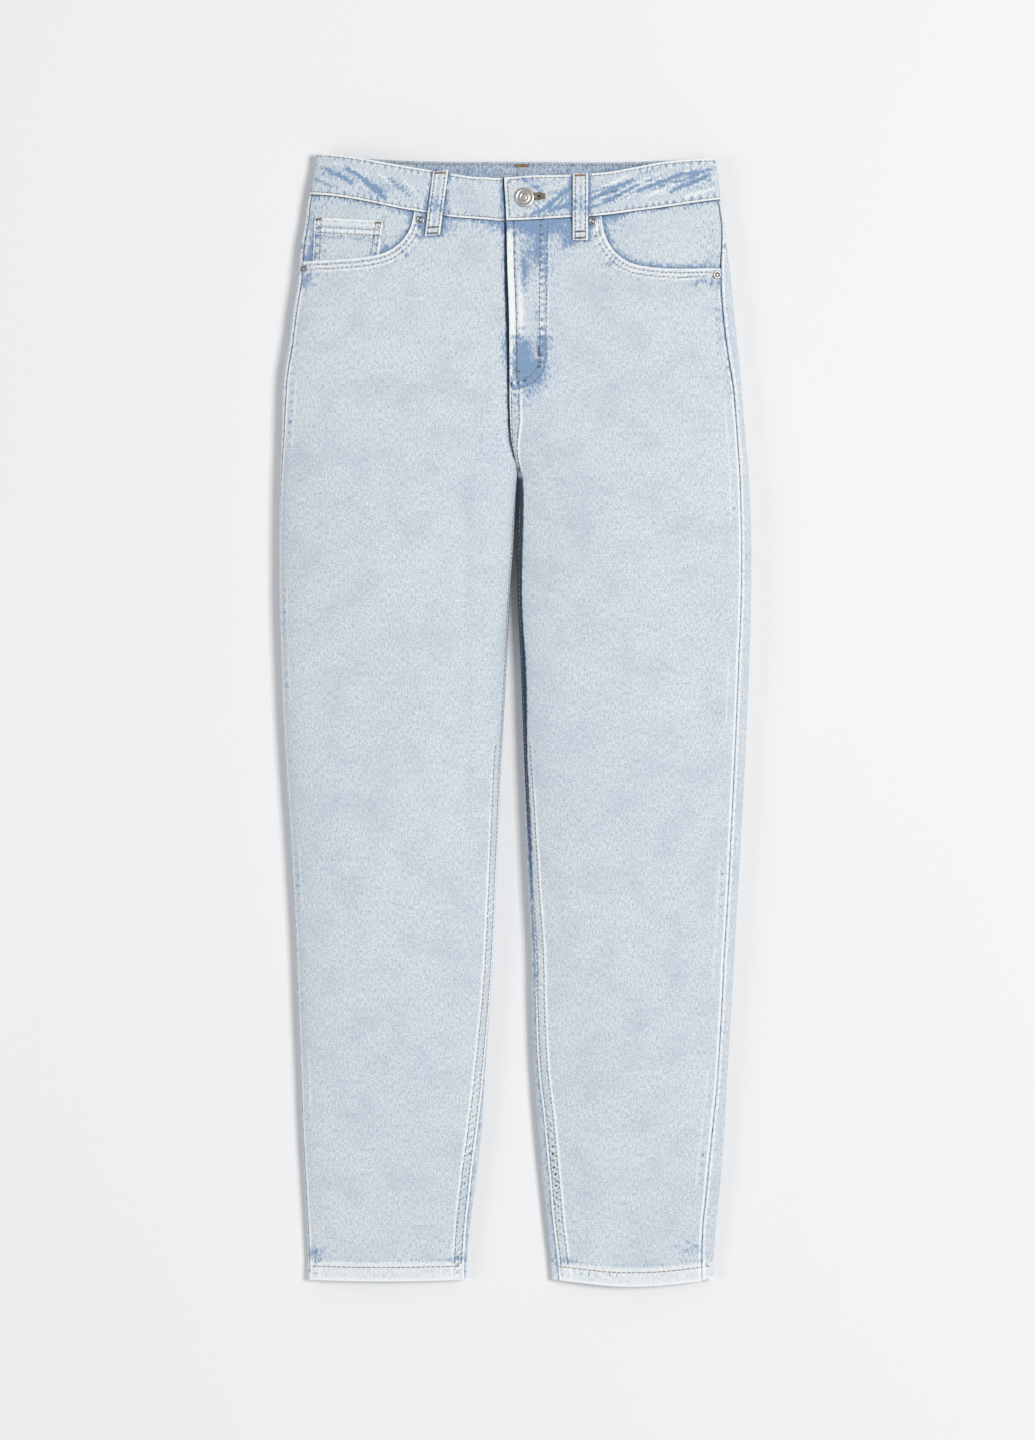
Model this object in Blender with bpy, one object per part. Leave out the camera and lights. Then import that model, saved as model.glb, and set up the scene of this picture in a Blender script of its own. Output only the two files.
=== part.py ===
# Light-wash high-waisted tapered jeans, laid flat on their back.
# Metres; X to the wearer's left, Y from the hems to the waist, Z up; the back lies on z = 0.
import bpy
import math
import numpy as np
from mathutils import Vector

# Sizes, all in millimetres
MM = 0.001
WALL = 1.2            # denim panel
HEM_WALL = 2.4        # denim folded over at the hem
BAND_WALL = 2.6       # waistband, two layers with stiffening
BAND_PROUD = 0.9      # how far the waistband stands over the panels
LOOP_WALL = 2.0       # belt loop, denim folded in three
GAP = 0.3             # space left between neighbouring pieces
HEM_HEIGHT = 12.0
EDGE_ROUND = 7.0      # how far in the underside starts to round up to the side edge
BACK_LIFT = 2.3       # the back of the waist rides on its belt loops
POCKET_LIFT = 1.5     # the seat rides on its patch pockets
TAB_REACH = 28.0      # how far the waistband's underlap runs on below the tab
FLY_LAP = 8.0         # how far the right front runs on below the left front
CROTCH_Y = 214.0
CENTRE_BACK_X = 2.2

# One row per cross-section of both legs, from below the hems up to the waist:
# y, right outer edge, right inner edge, left inner edge, left outer edge,
# height of the side edges, height of the crown, crown's place (0 inner edge, 1 outer edge),
# roundness of the outer shoulder (2 is an ellipse, more is squarer)
SECTION = {"out_r": 1, "in_r": 2, "in_l": 3, "out_l": 4, "edge": 5, "crown": 6, "peak": 7, "square": 8}
SECTIONS = np.array([
    (-500.0, -179.0, -41.8, 34.0, 172.2, 5.6, 12.6, 0.50, 2.5),
    (-472.0, -179.0, -41.6, 31.4, 172.2, 5.6, 13.4, 0.50, 2.5),
    (-440.0, -180.0, -39.1, 28.0, 174.5, 5.8, 16.0, 0.50, 2.4),
    (-400.0, -182.0, -33.9, 24.0, 178.5, 6.0, 19.0, 0.50, 2.4),
    (-350.0, -184.5, -28.5, 19.4, 181.9, 6.2, 22.0, 0.50, 2.3),
    (-300.0, -186.1, -25.4, 16.0, 184.7, 6.4, 24.3, 0.50, 2.3),
    (-250.0, -188.0, -21.8, 14.5, 187.8, 6.6, 26.0, 0.50, 2.3),
    (-200.0, -189.4, -18.7, 13.9, 190.4, 6.8, 27.4, 0.50, 2.3),
    (-150.0, -191.9, -16.6, 11.5, 193.5, 7.0, 28.6, 0.50, 2.3),
    (-100.0, -194.5, -14.4, 9.5, 196.2, 7.2, 29.8, 0.50, 2.3),
    (-50.0, -197.8, -12.5, 7.7, 198.8, 7.4, 31.0, 0.50, 2.3),
    (0.0, -200.7, -9.8, 6.1, 201.1, 7.6, 32.2, 0.50, 2.3),
    (50.0, -202.4, -7.1, 4.4, 203.2, 7.8, 33.2, 0.50, 2.3),
    (100.0, -204.0, -4.7, 2.4, 204.6, 8.0, 34.0, 0.49, 2.3),
    (150.0, -204.3, -1.2, 1.6, 204.8, 8.0, 34.0, 0.47, 2.3),
    (200.0, -203.7, 1.2, 2.8, 203.2, 8.0, 33.0, 0.44, 2.4),
    (214.0, -203.4, 2.0, 2.4, 202.6, 8.0, 32.4, 0.43, 2.4),
    (240.0, -202.5, -2.9, -2.9, 200.2, 8.0, 31.0, 0.41, 2.5),
    (270.0, -202.0, -4.6, -4.6, 197.8, 8.0, 29.4, 0.38, 2.6),
    (300.0, -200.9, -4.8, -4.8, 195.4, 8.0, 28.0, 0.35, 2.7),
    (330.0, -195.9, -5.0, -5.0, 192.4, 8.0, 27.0, 0.33, 2.8),
    (360.0, -192.2, -5.6, -5.6, 189.3, 8.0, 26.2, 0.32, 2.8),
    (390.0, -187.3, -6.7, -6.7, 186.4, 8.0, 25.4, 0.31, 2.8),
    (410.0, -185.7, -7.1, -7.1, 183.6, 8.0, 24.6, 0.30, 2.8),
    (430.0, -181.9, -7.5, -7.5, 181.6, 8.0, 23.6, 0.30, 2.8),
    (450.0, -179.2, -8.4, -8.4, 178.4, 8.0, 22.4, 0.30, 2.8),
    (470.0, -174.9, -9.5, -9.5, 175.8, 8.0, 21.0, 0.30, 2.8),
    (482.0, -172.6, -9.5, -9.5, 174.4, 8.0, 20.2, 0.30, 2.8),
    (500.0, -172.2, -9.5, -9.5, 174.2, 8.0, 19.0, 0.30, 2.8),
])

# How far in from the side edge, on the upper side, each seam runs:
# y, right outseam, right inseam, left inseam, left outseam
SEAM = {"out_r": 1, "in_r": 2, "in_l": 3, "out_l": 4}
SEAMS = np.array([
    (-500.0, 0.6, 2.6, 6.0, 10.4),
    (-470.0, 0.6, 2.6, 6.0, 10.4),
    (-433.0, 0.6, 3.4, 5.6, 12.0),
    (-391.0, 0.6, 4.4, 6.2, 11.8),
    (-349.0, 0.6, 3.4, 6.2, 10.2),
    (-312.0, 0.6, 1.8, 4.6, 8.6),
    (-200.0, 0.6, 0.6, 3.2, 9.0),
    (-95.0, 0.6, 0.6, 1.8, 9.2),
    (0.0, 0.6, 0.6, 0.6, 9.6),
    (49.0, 0.6, 0.6, 0.6, 9.6),
    (137.0, 0.6, 0.6, 0.6, 8.8),
    (200.0, 0.9, 0.5, 0.5, 8.2),
    (214.0, 1.2, 0.0, 0.0, 8.0),
    (249.0, 2.3, 0.0, 0.0, 7.2),
    (281.0, 3.3, 0.0, 0.0, 7.0),
    (312.0, 4.2, 0.0, 0.0, 9.0),
    (336.0, 3.6, 0.0, 0.0, 9.9),
    (372.0, 4.2, 0.0, 0.0, 9.4),
    (392.0, 2.9, 0.0, 0.0, 7.6),
    (417.0, 2.2, 0.0, 0.0, 3.0),
    (450.0, 1.6, 0.0, 0.0, 1.6),
    (500.0, 1.6, 0.0, 0.0, 1.6),
])

# The waistband's edges as they lie: x, front lower edge, front upper edge
BAND_FRONT = np.array([
    (-179.0, 455.4, 491.2), (-157.0, 453.3, 489.5), (-139.0, 450.4, 487.0), (-119.0, 446.2, 483.2),
    (-98.0, 441.8, 479.4), (-78.0, 438.6, 476.0), (-56.0, 434.8, 472.4), (-36.0, 433.0, 469.4),
    (-10.0, 431.4, 468.9), (15.0, 432.4, 470.6), (50.0, 434.4, 471.3), (64.0, 434.9, 472.2),
    (84.0, 436.9, 474.0), (105.0, 440.0, 478.0), (125.0, 442.7, 482.0), (150.0, 446.6, 484.8),
    (178.0, 450.9, 486.6),
])
# x, back lower edge, back upper edge, yoke seam
BAND_BACK = np.array([
    (-180.0, 455.4, 491.2, 405.0), (-147.0, 451.0, 488.4, 399.0), (-113.0, 448.0, 486.0, 393.0),
    (-80.0, 446.4, 484.6, 387.0), (-42.0, 445.6, 484.0, 380.0), (2.2, 445.4, 484.1, 372.0),
    (56.0, 445.6, 483.7, 382.0), (104.0, 446.4, 484.0, 391.0), (125.0, 447.6, 485.0, 395.0),
    (153.0, 449.4, 486.0, 400.0), (180.0, 450.9, 486.6, 405.0),
])

# Largest folds of the upper side: x and y of one end, x and y of the other, half width, rise
FOLDS = [
    (175.5, 372.0, 181.0, 330.0, 5.0, -3.4),      # hollow beside the left pocket's lower end
    (181.0, 330.0, 190.0, 274.0, 4.5, -2.2),
    (181.0, 414.0, 171.0, 394.0, 5.0, -2.0),      # left pocket edge gaping
    (-186.0, 384.0, -192.0, 330.0, 4.0, -1.2),    # beside the right pocket's lower end
    (30.0, 300.0, 74.0, 250.0, 12.0, -1.0),       # soft pull lines below the fly
    (-22.0, 300.0, -66.0, 246.0, 12.0, -1.0),
    (-18.0, 215.0, -20.0, 60.0, 12.0, -1.2),
    (-150.0, -30.0, -80.0, -60.0, 16.0, -1.0),    # knees
    (80.0, -50.0, 150.0, -20.0, 16.0, -1.0),
]

# Pocket mouths seen from above, x and y, from the waist seam to the outseam
MOUTH_RIGHT = [(-86.4, 452.0), (-87.0, 438.7), (-89.5, 426.6), (-93.4, 418.9), (-98.4, 412.7),
               (-106.0, 406.4), (-116.3, 401.8), (-131.8, 399.2), (-150.9, 397.8), (-169.9, 397.2),
               (-184.0, 396.6), (-215.0, 396.0)]
MOUTH_LEFT = [(74.4, 452.0), (74.9, 433.8), (76.8, 420.4), (82.4, 408.4), (92.1, 398.3), (104.5, 392.6),
              (125.2, 390.0), (146.0, 389.6), (165.3, 390.4), (180.0, 390.8), (215.0, 391.0)]
COIN_TOP = [(-174.1, 435.5), (-113.7, 431.7)]
COIN_LOW = [(-176.6, 376.0), (-120.4, 376.0)]
LOOP_WIDTH = 13.4
# wearer's side, x at the top, x at the bottom, y of the bottom end
FRONT_LOOPS = {"belt_loop_front_right": (-64.2, -71.4, 418.0), "belt_loop_front_left": (56.6, 56.4, 414.0)}
BACK_LOOPS = {"belt_loop_back_right": -96.0, "belt_loop_back_center": 2.2, "belt_loop_back_left": 100.0}
BACK_LOOP_LOW, BACK_LOOP_HIGH = 426.0, 485.6
BUTTON_X, BUTTON_Y = 8.0, 451.3
BUTTONHOLE_END = 22.5
RIVETS = {"rivet_right_inner": (-81.8, 432.0), "rivet_left_inner": (67.2, 430.5),
          "rivet_right_outer": (-182.4, 390.3), "rivet_left_outer": (174.6, 384.9)}
PATCH_SIDE, PATCH_TOP, PATCH_LOW, PATCH_TIP = 130.0, 362.0, 240.0, 218.0

for old in list(bpy.data.objects):
    bpy.data.objects.remove(old, do_unlink=True)


# Small helpers
def ease(t):
    """Soft step from 0 to 1."""
    t = min(max(t, 0.0), 1.0)
    return t * t * (3.0 - 2.0 * t)


def blend(table, column, y):
    """Smooth curve through one column of a table, read at y."""
    ys = table[:, 0]
    vs = table[:, column]
    y = min(max(y, ys[0]), ys[-1])
    i = min(max(int(np.searchsorted(ys, y)) - 1, 0), len(ys) - 2)
    step = ys[i + 1] - ys[i]
    t = (y - ys[i]) / step
    rise = (vs[i + 1] - vs[i]) / step
    before = (vs[i] - vs[i - 1]) / (ys[i] - ys[i - 1]) if i > 0 else rise
    after = (vs[i + 2] - vs[i + 1]) / (ys[i + 2] - ys[i + 1]) if i < len(ys) - 2 else rise
    start = 0.5 * (before + rise) if before * rise > 0 else 0.0
    end = 0.5 * (after + rise) if after * rise > 0 else 0.0
    a = 2 * t ** 3 - 3 * t ** 2 + 1
    b = t ** 3 - 2 * t ** 2 + t
    c = -2 * t ** 3 + 3 * t ** 2
    d = t ** 3 - t ** 2
    return a * vs[i] + b * step * start + c * vs[i + 1] + d * step * end


def section(name, y):
    return float(blend(SECTIONS, SECTION[name], y))


def edges(side, y):
    """Outer and inner edge of one half at y; side -1 is the wearer's right."""
    if side < 0:
        return section("out_r", y), section("in_r", y)
    return section("out_l", y), section("in_l", y)


def front_closing(y):
    """0 where the front runs straight over the middle, 1 where each leg has its own inner edge."""
    return ease((300.0 - y) / (300.0 - CROTCH_Y))


def back_closing(y):
    return ease((250.0 - y) / (250.0 - CROTCH_Y))


def back_lift(y):
    """The yoke rises to the level of the waistband, which rides on its loops."""
    return BACK_LIFT * ease((y - 400.0) / 22.0)


def fold_rise(x, y):
    """Sum of the long soft hollows, each fading out towards its ends."""
    total = 0.0
    for x0, y0, x1, y1, half, rise in FOLDS:
        along_x, along_y = x1 - x0, y1 - y0
        length = math.hypot(along_x, along_y)
        t = ((x - x0) * along_x + (y - y0) * along_y) / length ** 2
        across = ((x - x0) * along_y - (y - y0) * along_x) / length
        over = np.maximum(0.0, np.maximum(-t, t - 1.0)) * length
        total = total + rise * np.exp(-(across / half) ** 2 - (over / (1.5 * half)) ** 2)
    return total


def top_height(side, x, y):
    """Height of the upper side over the table at each x of one cross-section."""
    outer, inner = edges(side, y)
    edge = section("edge", y)
    crown = section("crown", y)
    peak = section("peak", y)
    square = section("square", y)
    x = np.asarray(x, dtype=float)
    u = np.clip((x - inner) / (outer - inner), 0.0, 1.0)
    outward = np.clip((u - peak) / (1.0 - peak), 0.0, 1.0)
    inward = np.clip((peak - u) / peak, 0.0, 1.0)
    part = np.maximum(0.0, 1.0 - outward ** square) ** (1.0 / square)
    part = part * np.maximum(0.0, 1.0 - front_closing(y) * inward ** 2.3) ** (1.0 / 2.3)
    near = np.minimum(1.0, np.abs(outer - x) / 8.0)
    return edge + (crown - edge) * part + fold_rise(x, y) * near * part


RINGS = {}


def ring(side, y):
    """One half's outline at y as x, z and running length: from the inner end along the underside,
    round the outer edge (running length 0) and back over the upper side to the inner end."""
    key = (side, round(y, 2))
    if key in RINGS:
        return RINGS[key]
    outer, inner = edges(side, y)
    closed = y <= CROTCH_Y + 0.01
    edge = section("edge", y)
    lift = back_lift(y)
    back_inner = inner if closed else CENTRE_BACK_X + side * GAP / 2
    closing = back_closing(y)
    points = []
    for i in range(13):                                   # underside rounding at the inner edge
        angle = math.pi / 2 * (1.0 - i / 12)
        points.append((back_inner + side * EDGE_ROUND * (1.0 - math.sin(angle)),
                       lift + (edge * closing) * (1.0 - math.cos(angle))))
    x_from = back_inner + side * EDGE_ROUND
    x_to = outer - side * EDGE_ROUND
    for i in range(1, 24):
        points.append((x_from + (x_to - x_from) * i / 24, lift))
    for i in range(13):                                   # rounding up to the outer edge
        angle = math.pi / 2 * i / 12
        points.append((x_to + side * EDGE_ROUND * math.sin(angle),
                       lift + (edge - lift) * (1.0 - math.cos(angle))))
    zero = len(points) - 1
    count = 160
    t = np.arange(1, count + 1) / count                   # upper side, close together at the edges
    u = 0.5 - 0.5 * np.cos(math.pi * t) if front_closing(y) > 0.02 else 1.0 - np.cos(math.pi / 2 * t)
    xs = outer + (inner - outer) * u
    points += list(zip(xs, top_height(side, xs, y)))
    last = len(points) - 1
    if not closed:                                        # a little of the other half, for laps and slopes
        xs = inner - side * 1.5 * np.arange(1, 41)
        points += list(zip(xs, top_height(-side, xs, y)))
    points = np.array(points)
    run = np.concatenate([[0.0], np.cumsum(np.hypot(*np.diff(points, axis=0).T))])
    run -= run[zero]
    RINGS[key] = (points, run, run[last], closed)
    return RINGS[key]


def on_ring(side, y, a):
    points, run, end, closed = ring(side, y)
    if closed:
        if a > end:
            a = run[0] + (a - end)
        elif a < run[0]:
            a = end - (run[0] - a)
    return np.array((np.interp(a, run, points[:, 0]), np.interp(a, run, points[:, 1])))


def surface(side, y, a):
    """Point of the garment's outer side and its outward direction."""
    here = on_ring(side, y, a)
    ahead = on_ring(side, y, a + 1.2)
    behind = on_ring(side, y, a - 1.2)
    tangent = np.array((ahead[0] - behind[0], 0.0, ahead[1] - behind[1]))
    if abs(tangent[0]) + abs(tangent[2]) < 0.2:
        tangent = np.array((-side, 0.0, 0.0))
    up = slide(side, y + 3.0, y, a)
    down = slide(side, y - 3.0, y, a)
    along = np.array((up[0] - down[0], 6.0, up[1] - down[1]))
    normal = np.cross(along, tangent) * side
    normal /= np.linalg.norm(normal)
    normal[1] = max(-0.5, min(0.5, normal[1]))
    return np.array((here[0], y, here[1])), normal / np.linalg.norm(normal)


def slide(side, y_new, y_old, a):
    """The matching place on a neighbouring cross-section."""
    _, run_old, end_old, _ = ring(side, y_old)
    _, run_new, end_new, _ = ring(side, y_new)
    share = a * end_new / end_old if a > 0 else a * run_new[0] / run_old[0]
    return on_ring(side, y_new, share)


def run_at_x(side, y, x):
    """Running length of the upper side at x."""
    points, run, end, _ = ring(side, y)
    zero = int(np.argmin(np.abs(run)))
    xs = points[zero:, 0] * -side
    return float(np.interp(-side * x, xs, run[zero:]))


def seam_run(side, y, which):
    """Running length of the outseam or of the front's inner end."""
    outer, inner = edges(side, y)
    if which == "out":
        inset = float(blend(SEAMS, SEAM["out_r" if side < 0 else "out_l"], y))
        return run_at_x(side, y, outer - side * inset)
    inset = float(blend(SEAMS, SEAM["in_r" if side < 0 else "in_l"], y))
    end = ring(side, y)[2]
    return min(end, run_at_x(side, y, inner + side * inset)) if inset > 0 else end


def band_front(x, column):
    return float(blend(BAND_FRONT, column, x))


def band_back(x, column):
    return float(blend(BAND_BACK, column, x))


MATERIALS = {}


def material(name, color, metallic=0.0, roughness=0.85):
    if name not in MATERIALS:
        mat = bpy.data.materials.new(name)
        mat.use_nodes = True
        shader = mat.node_tree.nodes["Principled BSDF"]
        shader.inputs["Base Color"].default_value = (*color, 1.0)
        shader.inputs["Metallic"].default_value = metallic
        shader.inputs["Roughness"].default_value = roughness
        MATERIALS[name] = mat
    return MATERIALS[name]


def add_object(name, vertices, faces, mat, smooth=True):
    mesh = bpy.data.meshes.new(name)
    mesh.from_pydata([tuple(v * MM for v in p) for p in vertices], [], faces)
    mesh.validate()
    mesh.update()
    obj = bpy.data.objects.new(name, mesh)
    bpy.context.scene.collection.objects.link(obj)
    obj.data.materials.append(mat)
    for poly in mesh.polygons:
        poly.use_smooth = smooth
    return obj


def sheet(name, rows, mat, flip=False):
    """Cloth wall from rows of (outer point, inner point)."""
    n_rows, n_cols = len(rows), len(rows[0])
    vertices = [p[0] for row in rows for p in row] + [p[1] for row in rows for p in row]
    below = n_rows * n_cols
    faces = []
    for i in range(n_rows - 1):
        for j in range(n_cols - 1):
            a = i * n_cols + j
            b, c, d = a + 1, a + n_cols + 1, a + n_cols
            faces += [(a, b, c), (a, c, d)]
            faces += [(below + a, below + c, below + b), (below + a, below + d, below + c)]
    border = [j for j in range(n_cols)]
    border += [i * n_cols + n_cols - 1 for i in range(1, n_rows)]
    border += [(n_rows - 1) * n_cols + j for j in range(n_cols - 2, -1, -1)]
    border += [i * n_cols for i in range(n_rows - 2, 0, -1)]
    for k in range(len(border)):
        a, b = border[k], border[(k + 1) % len(border)]
        faces += [(b, a, below + a), (b, below + a, below + b)]
    if not flip:
        faces = [tuple(reversed(f)) for f in faces]
    return add_object(name, vertices, faces, mat)


def wall(side, y, a, depth, thick):
    """Outer and inner point of a cloth wall whose outer side lies depth below the garment's surface."""
    point, normal = surface(side, y, a)
    return point - normal * depth, point - normal * (depth + thick)


def spaced(count, tight):
    """Shares from 0 to 1, closer together at both ends."""
    shares = []
    for i in range(count):
        t = i / (count - 1)
        shares.append((1 - tight) * t + tight * (0.5 - 0.5 * math.cos(math.pi * t)))
    return shares


# Denim colours
DENIM = material("denim_light_wash", (0.62, 0.70, 0.75))
DENIM_BLUE = material("denim_inner", (0.42, 0.52, 0.62))
STEEL = material("brushed_steel", (0.72, 0.71, 0.69), 1.0, 0.32)
TAPE = material("zip_tape", (0.55, 0.60, 0.66))


def own(mat, name):
    """A copy of a material under the piece's own name."""
    copy = mat.copy()
    copy.name = name
    return copy


# Front panels
HEM_Y = -485.2
LEG_ROWS = [HEM_Y, HEM_Y + HEM_HEIGHT, HEM_Y + HEM_HEIGHT + 1.5, -450, -425, -400, -370, -340, -310,
            -280, -250, -220, -190, -160, -130, -100, -70, -40, -10, 20, 50, 80, 108, 134, 158, 178, 194, 206, CROTCH_Y]
HIP_ROWS = [222, 232, 244, 256, 266, 278, 290, 304, 318, 334, 350, 366, 382, 396, 410, 424]


def hem_sag(side, x):
    """The left leg's front hem hangs a little lower in the middle."""
    outer, inner = edges(side, HEM_Y)
    u = min(max((x - inner) / (outer - inner), 0.0), 1.0)
    return (5.6 if side > 0 else 0.9) * math.sin(math.pi * u) ** 1.3


def fly_lap(y):
    """How far the right front runs on past the fly's edge."""
    return -GAP / 2 + (FLY_LAP + GAP / 2) * ease((y - 264.0) / 24.0)


def fly_dip(side, x, y):
    """The right front goes down below the left one at the fly's edge."""
    if side > 0:
        return 0.0
    _, inner = edges(side, y)
    return (WALL + GAP + 0.1) * ease((x - inner + 15.0) / 12.0) * ease((y - 234.0) / 26.0)


def wall_at(y):
    return HEM_WALL if y < HEM_Y + HEM_HEIGHT + 0.1 else WALL


def front_spot(side, share, y):
    """Rows bend towards the curved waist seam at the top and the sagging hem at the bottom."""
    waist = band_front(side * 178.5, 1)
    pull = ease((y - 320.0) / (waist - 320.0))
    bent = y
    for _ in range(4):
        a0 = seam_run(side, bent, "in") - GAP / 2
        if bent > CROTCH_Y + 1.0:
            lap = fly_lap(bent) if side < 0 else -GAP / 2
            a0 = run_at_x(side, bent, edges(side, bent)[1] - side * lap)
        a1 = seam_run(side, bent, "out") + GAP / 2
        a = a0 + (a1 - a0) * share
        x = on_ring(side, bent, a)[0]
        bent = y + pull * (band_front(x, 1) - waist)
        if y < HEM_Y + 70.0:
            bent -= hem_sag(side, x) * (1.0 - ease((y - HEM_Y - 14.0) / 56.0))
    return x, bent, a


def front_panel(side, name):
    rows = []
    waist = band_front(side * 178.5, 1) - GAP / 2
    for y in LEG_ROWS + HIP_ROWS + [0.5 * (424 + waist), waist]:
        row = []
        for share in spaced(16, 0.75):
            x, bent, a = front_spot(side, share, y)
            row.append(wall(side, bent, a, fly_dip(side, x, bent), wall_at(y)))
        rows.append(row)
    return sheet(name, rows, own(DENIM, name + "_denim"), flip=side > 0)


def prism(name, outline, low, high):
    """Upright cutter over a plan outline."""
    count = len(outline)
    vertices = [(x, y, low) for x, y in outline] + [(x, y, high) for x, y in outline]
    faces = [tuple(reversed(range(count))), tuple(range(count, 2 * count))]
    for i in range(count):
        j = (i + 1) % count
        faces.append((i, j, count + j, count + i))
    area = sum(outline[i][0] * outline[(i + 1) % count][1] - outline[(i + 1) % count][0] * outline[i][1]
               for i in range(count))
    if area < 0:
        faces = [tuple(reversed(f)) for f in faces]
    return add_object(name, vertices, faces, own(DENIM, name + "_m"), smooth=False)


def cut(obj, cutter):
    cutter.hide_render = True
    cutter.display_type = "WIRE"
    mod = obj.modifiers.new("cut", "BOOLEAN")
    mod.operation = "DIFFERENCE"
    mod.solver = "EXACT"
    mod.object = cutter
    bpy.context.view_layer.update()
    depsgraph = bpy.context.evaluated_depsgraph_get()
    mesh = bpy.data.meshes.new_from_object(obj.evaluated_get(depsgraph))
    obj.modifiers.remove(mod)
    obj.data = mesh
    bpy.data.objects.remove(cutter, do_unlink=True)


def round_curve(points, times):
    """Corner cutting, so that a short outline reads as a curve."""
    for _ in range(times):
        fresh = [points[0]]
        for p, q in zip(points, points[1:]):
            fresh.append((0.75 * p[0] + 0.25 * q[0], 0.75 * p[1] + 0.25 * q[1]))
            fresh.append((0.25 * p[0] + 0.75 * q[0], 0.25 * p[1] + 0.75 * q[1]))
        fresh.append(points[-1])
        points = fresh
    return points


for side, name, mouth in ((-1, "front_panel_right", MOUTH_RIGHT), (1, "front_panel_left", MOUTH_LEFT)):
    panel = front_panel(side, name)
    outline = round_curve(mouth, 1) + [(side * 215.0, 500.0), (mouth[0][0], 500.0)]
    cut(panel, prism("mouth_cutter", outline, -20.0, 60.0))


# Back panels and yokes
FLAT_SHARES = [0.0, 0.14, 0.19, 0.40, 0.62, 0.88, 0.93, 1.0]


def back_columns(side, y):
    """Running lengths of the back from the outseam round below to the inner end."""
    points, run, end, closed = ring(side, y)
    start = seam_run(side, y, "out") - GAP / 2
    round_out = -math.pi / 4 * (EDGE_ROUND + section("edge", y))
    stop = run[0]
    if closed:
        inset = float(blend(SEAMS, SEAM["in_r" if side < 0 else "in_l"], y))
        stop = run[0] - (end - seam_run(side, y, "in")) + GAP / 2 if inset > 0.2 else stop
    outer, inner = edges(side, y)
    flat_in = np.interp(12, range(len(run)), run)
    flat_out = np.interp(12 + 24, range(len(run)), run)
    columns = [start + (flat_out - start) * s for s in (0.0, 0.2, 0.4, 0.6, 0.8)]
    columns += [flat_out + (flat_in - flat_out) * (1.0 - s) for s in reversed(FLAT_SHARES)]
    columns += [flat_in + (stop - flat_in) * s for s in (0.25, 0.5, 0.75, 1.0)]
    return columns


def patch_lift(side, x, y):
    """The seat is pressed up by the patch pockets lying below it."""
    reach = (x - CENTRE_BACK_X) * side
    middle = 105.0
    across = ease((PATCH_SIDE / 2 + 14.0 - abs(reach - middle)) / 7.0)
    upward = ease((PATCH_TOP + 12.0 - y) / 7.0) * ease((y - PATCH_TIP + 14.0) / 7.0)
    return POCKET_LIFT * across * upward


def back_seam_y(side, k, column):
    """Height along the garment of a back seam at column k."""
    y = 400.0 if column == 3 else 450.0
    for _ in range(4):
        y = band_back(on_ring(side, y, back_columns(side, y)[k])[0], column)
    return y


def back_panel(side, name):
    rows = []
    legs = [y for y in LEG_ROWS if y < 200]
    for y in legs + [206, CROTCH_Y, 222, 232, 244, 258, 274, 292, 312, 332, 352, 362]:
        row = []
        for k, a in enumerate(back_columns(side, y)):
            x, z = on_ring(side, y, a)
            lift = patch_lift(side, x, y) if a < 0 and y > 200 else 0.0
            row.append(wall(side, y, a, lift, wall_at(y)))
        rows.append(row)
    count = len(rows[0])
    for share in (0.5, 1.0):
        row = []
        for k in range(count):
            y = 362.0 + (back_seam_y(side, k, 3) - GAP / 2 - 362.0) * share
            a = back_columns(side, y)[k]
            row.append(wall(side, y, a, 0.0, WALL))
        rows.append(row)
    return sheet(name, rows, own(DENIM, name + "_denim"), flip=side > 0)


def yoke(side, name):
    rows = []
    count = len(back_columns(side, 400.0))
    for share in (0.0, 0.2, 0.4, 0.6, 0.8, 1.0):
        row = []
        for k in range(count):
            low = back_seam_y(side, k, 3) + GAP / 2
            high = back_seam_y(side, k, 1) - GAP / 2
            y = low + (high - low) * share
            row.append(wall(side, y, back_columns(side, y)[k], 0.0, WALL))
        rows.append(row)
    return sheet(name, rows, own(DENIM, name + "_denim"), flip=side > 0)


back_panel(-1, "back_panel_right")
back_panel(1, "back_panel_left")
yoke(-1, "yoke_right")
yoke(1, "yoke_left")


# Waistband, two halves joined at centre back
def waistband(side, name):
    rows = []
    for share in (0.0, 0.25, 0.5, 0.75, 1.0):
        row = []
        for k in range(32):
            y = 450.0 + 36.0 * share
            for _ in range(4):
                if k < 19:                                # front, from the middle to the side edge
                    reach = TAB_REACH if side < 0 else -GAP / 2
                    a = (ring(side, y)[2] + reach) * (1.0 - math.sin(math.pi / 2 * k / 19.0) ** 1.15)
                    low, high = (band_front(on_ring(side, y, a)[0], n) for n in (1, 2))
                else:                                     # round the side and along the back
                    a = ring(side, y)[1][0] * (1.0 - math.cos(math.pi / 2 * (k - 19) / 12.0) ** 0.9)
                    low, high = (band_back(on_ring(side, y, a)[0], n) for n in (1, 2))
                y = low + GAP / 2 + (high - low - GAP / 2) * share
            x, z = on_ring(side, y, a)
            _, inner = edges(side, y)
            depth = -BAND_PROUD * ease((a + 4.0) / 12.0)
            if side < 0 and a > 0:
                depth += (BAND_WALL + GAP + 0.1) * ease((x - inner + 16.0) / 9.0)
            row.append(wall(side, y, a, depth, BAND_WALL))
        rows.append(row)
    return sheet(name, rows, own(DENIM, name + "_denim"), flip=side > 0)


band_right = waistband(-1, "waistband_right")
band_left = waistband(1, "waistband_left")


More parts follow.
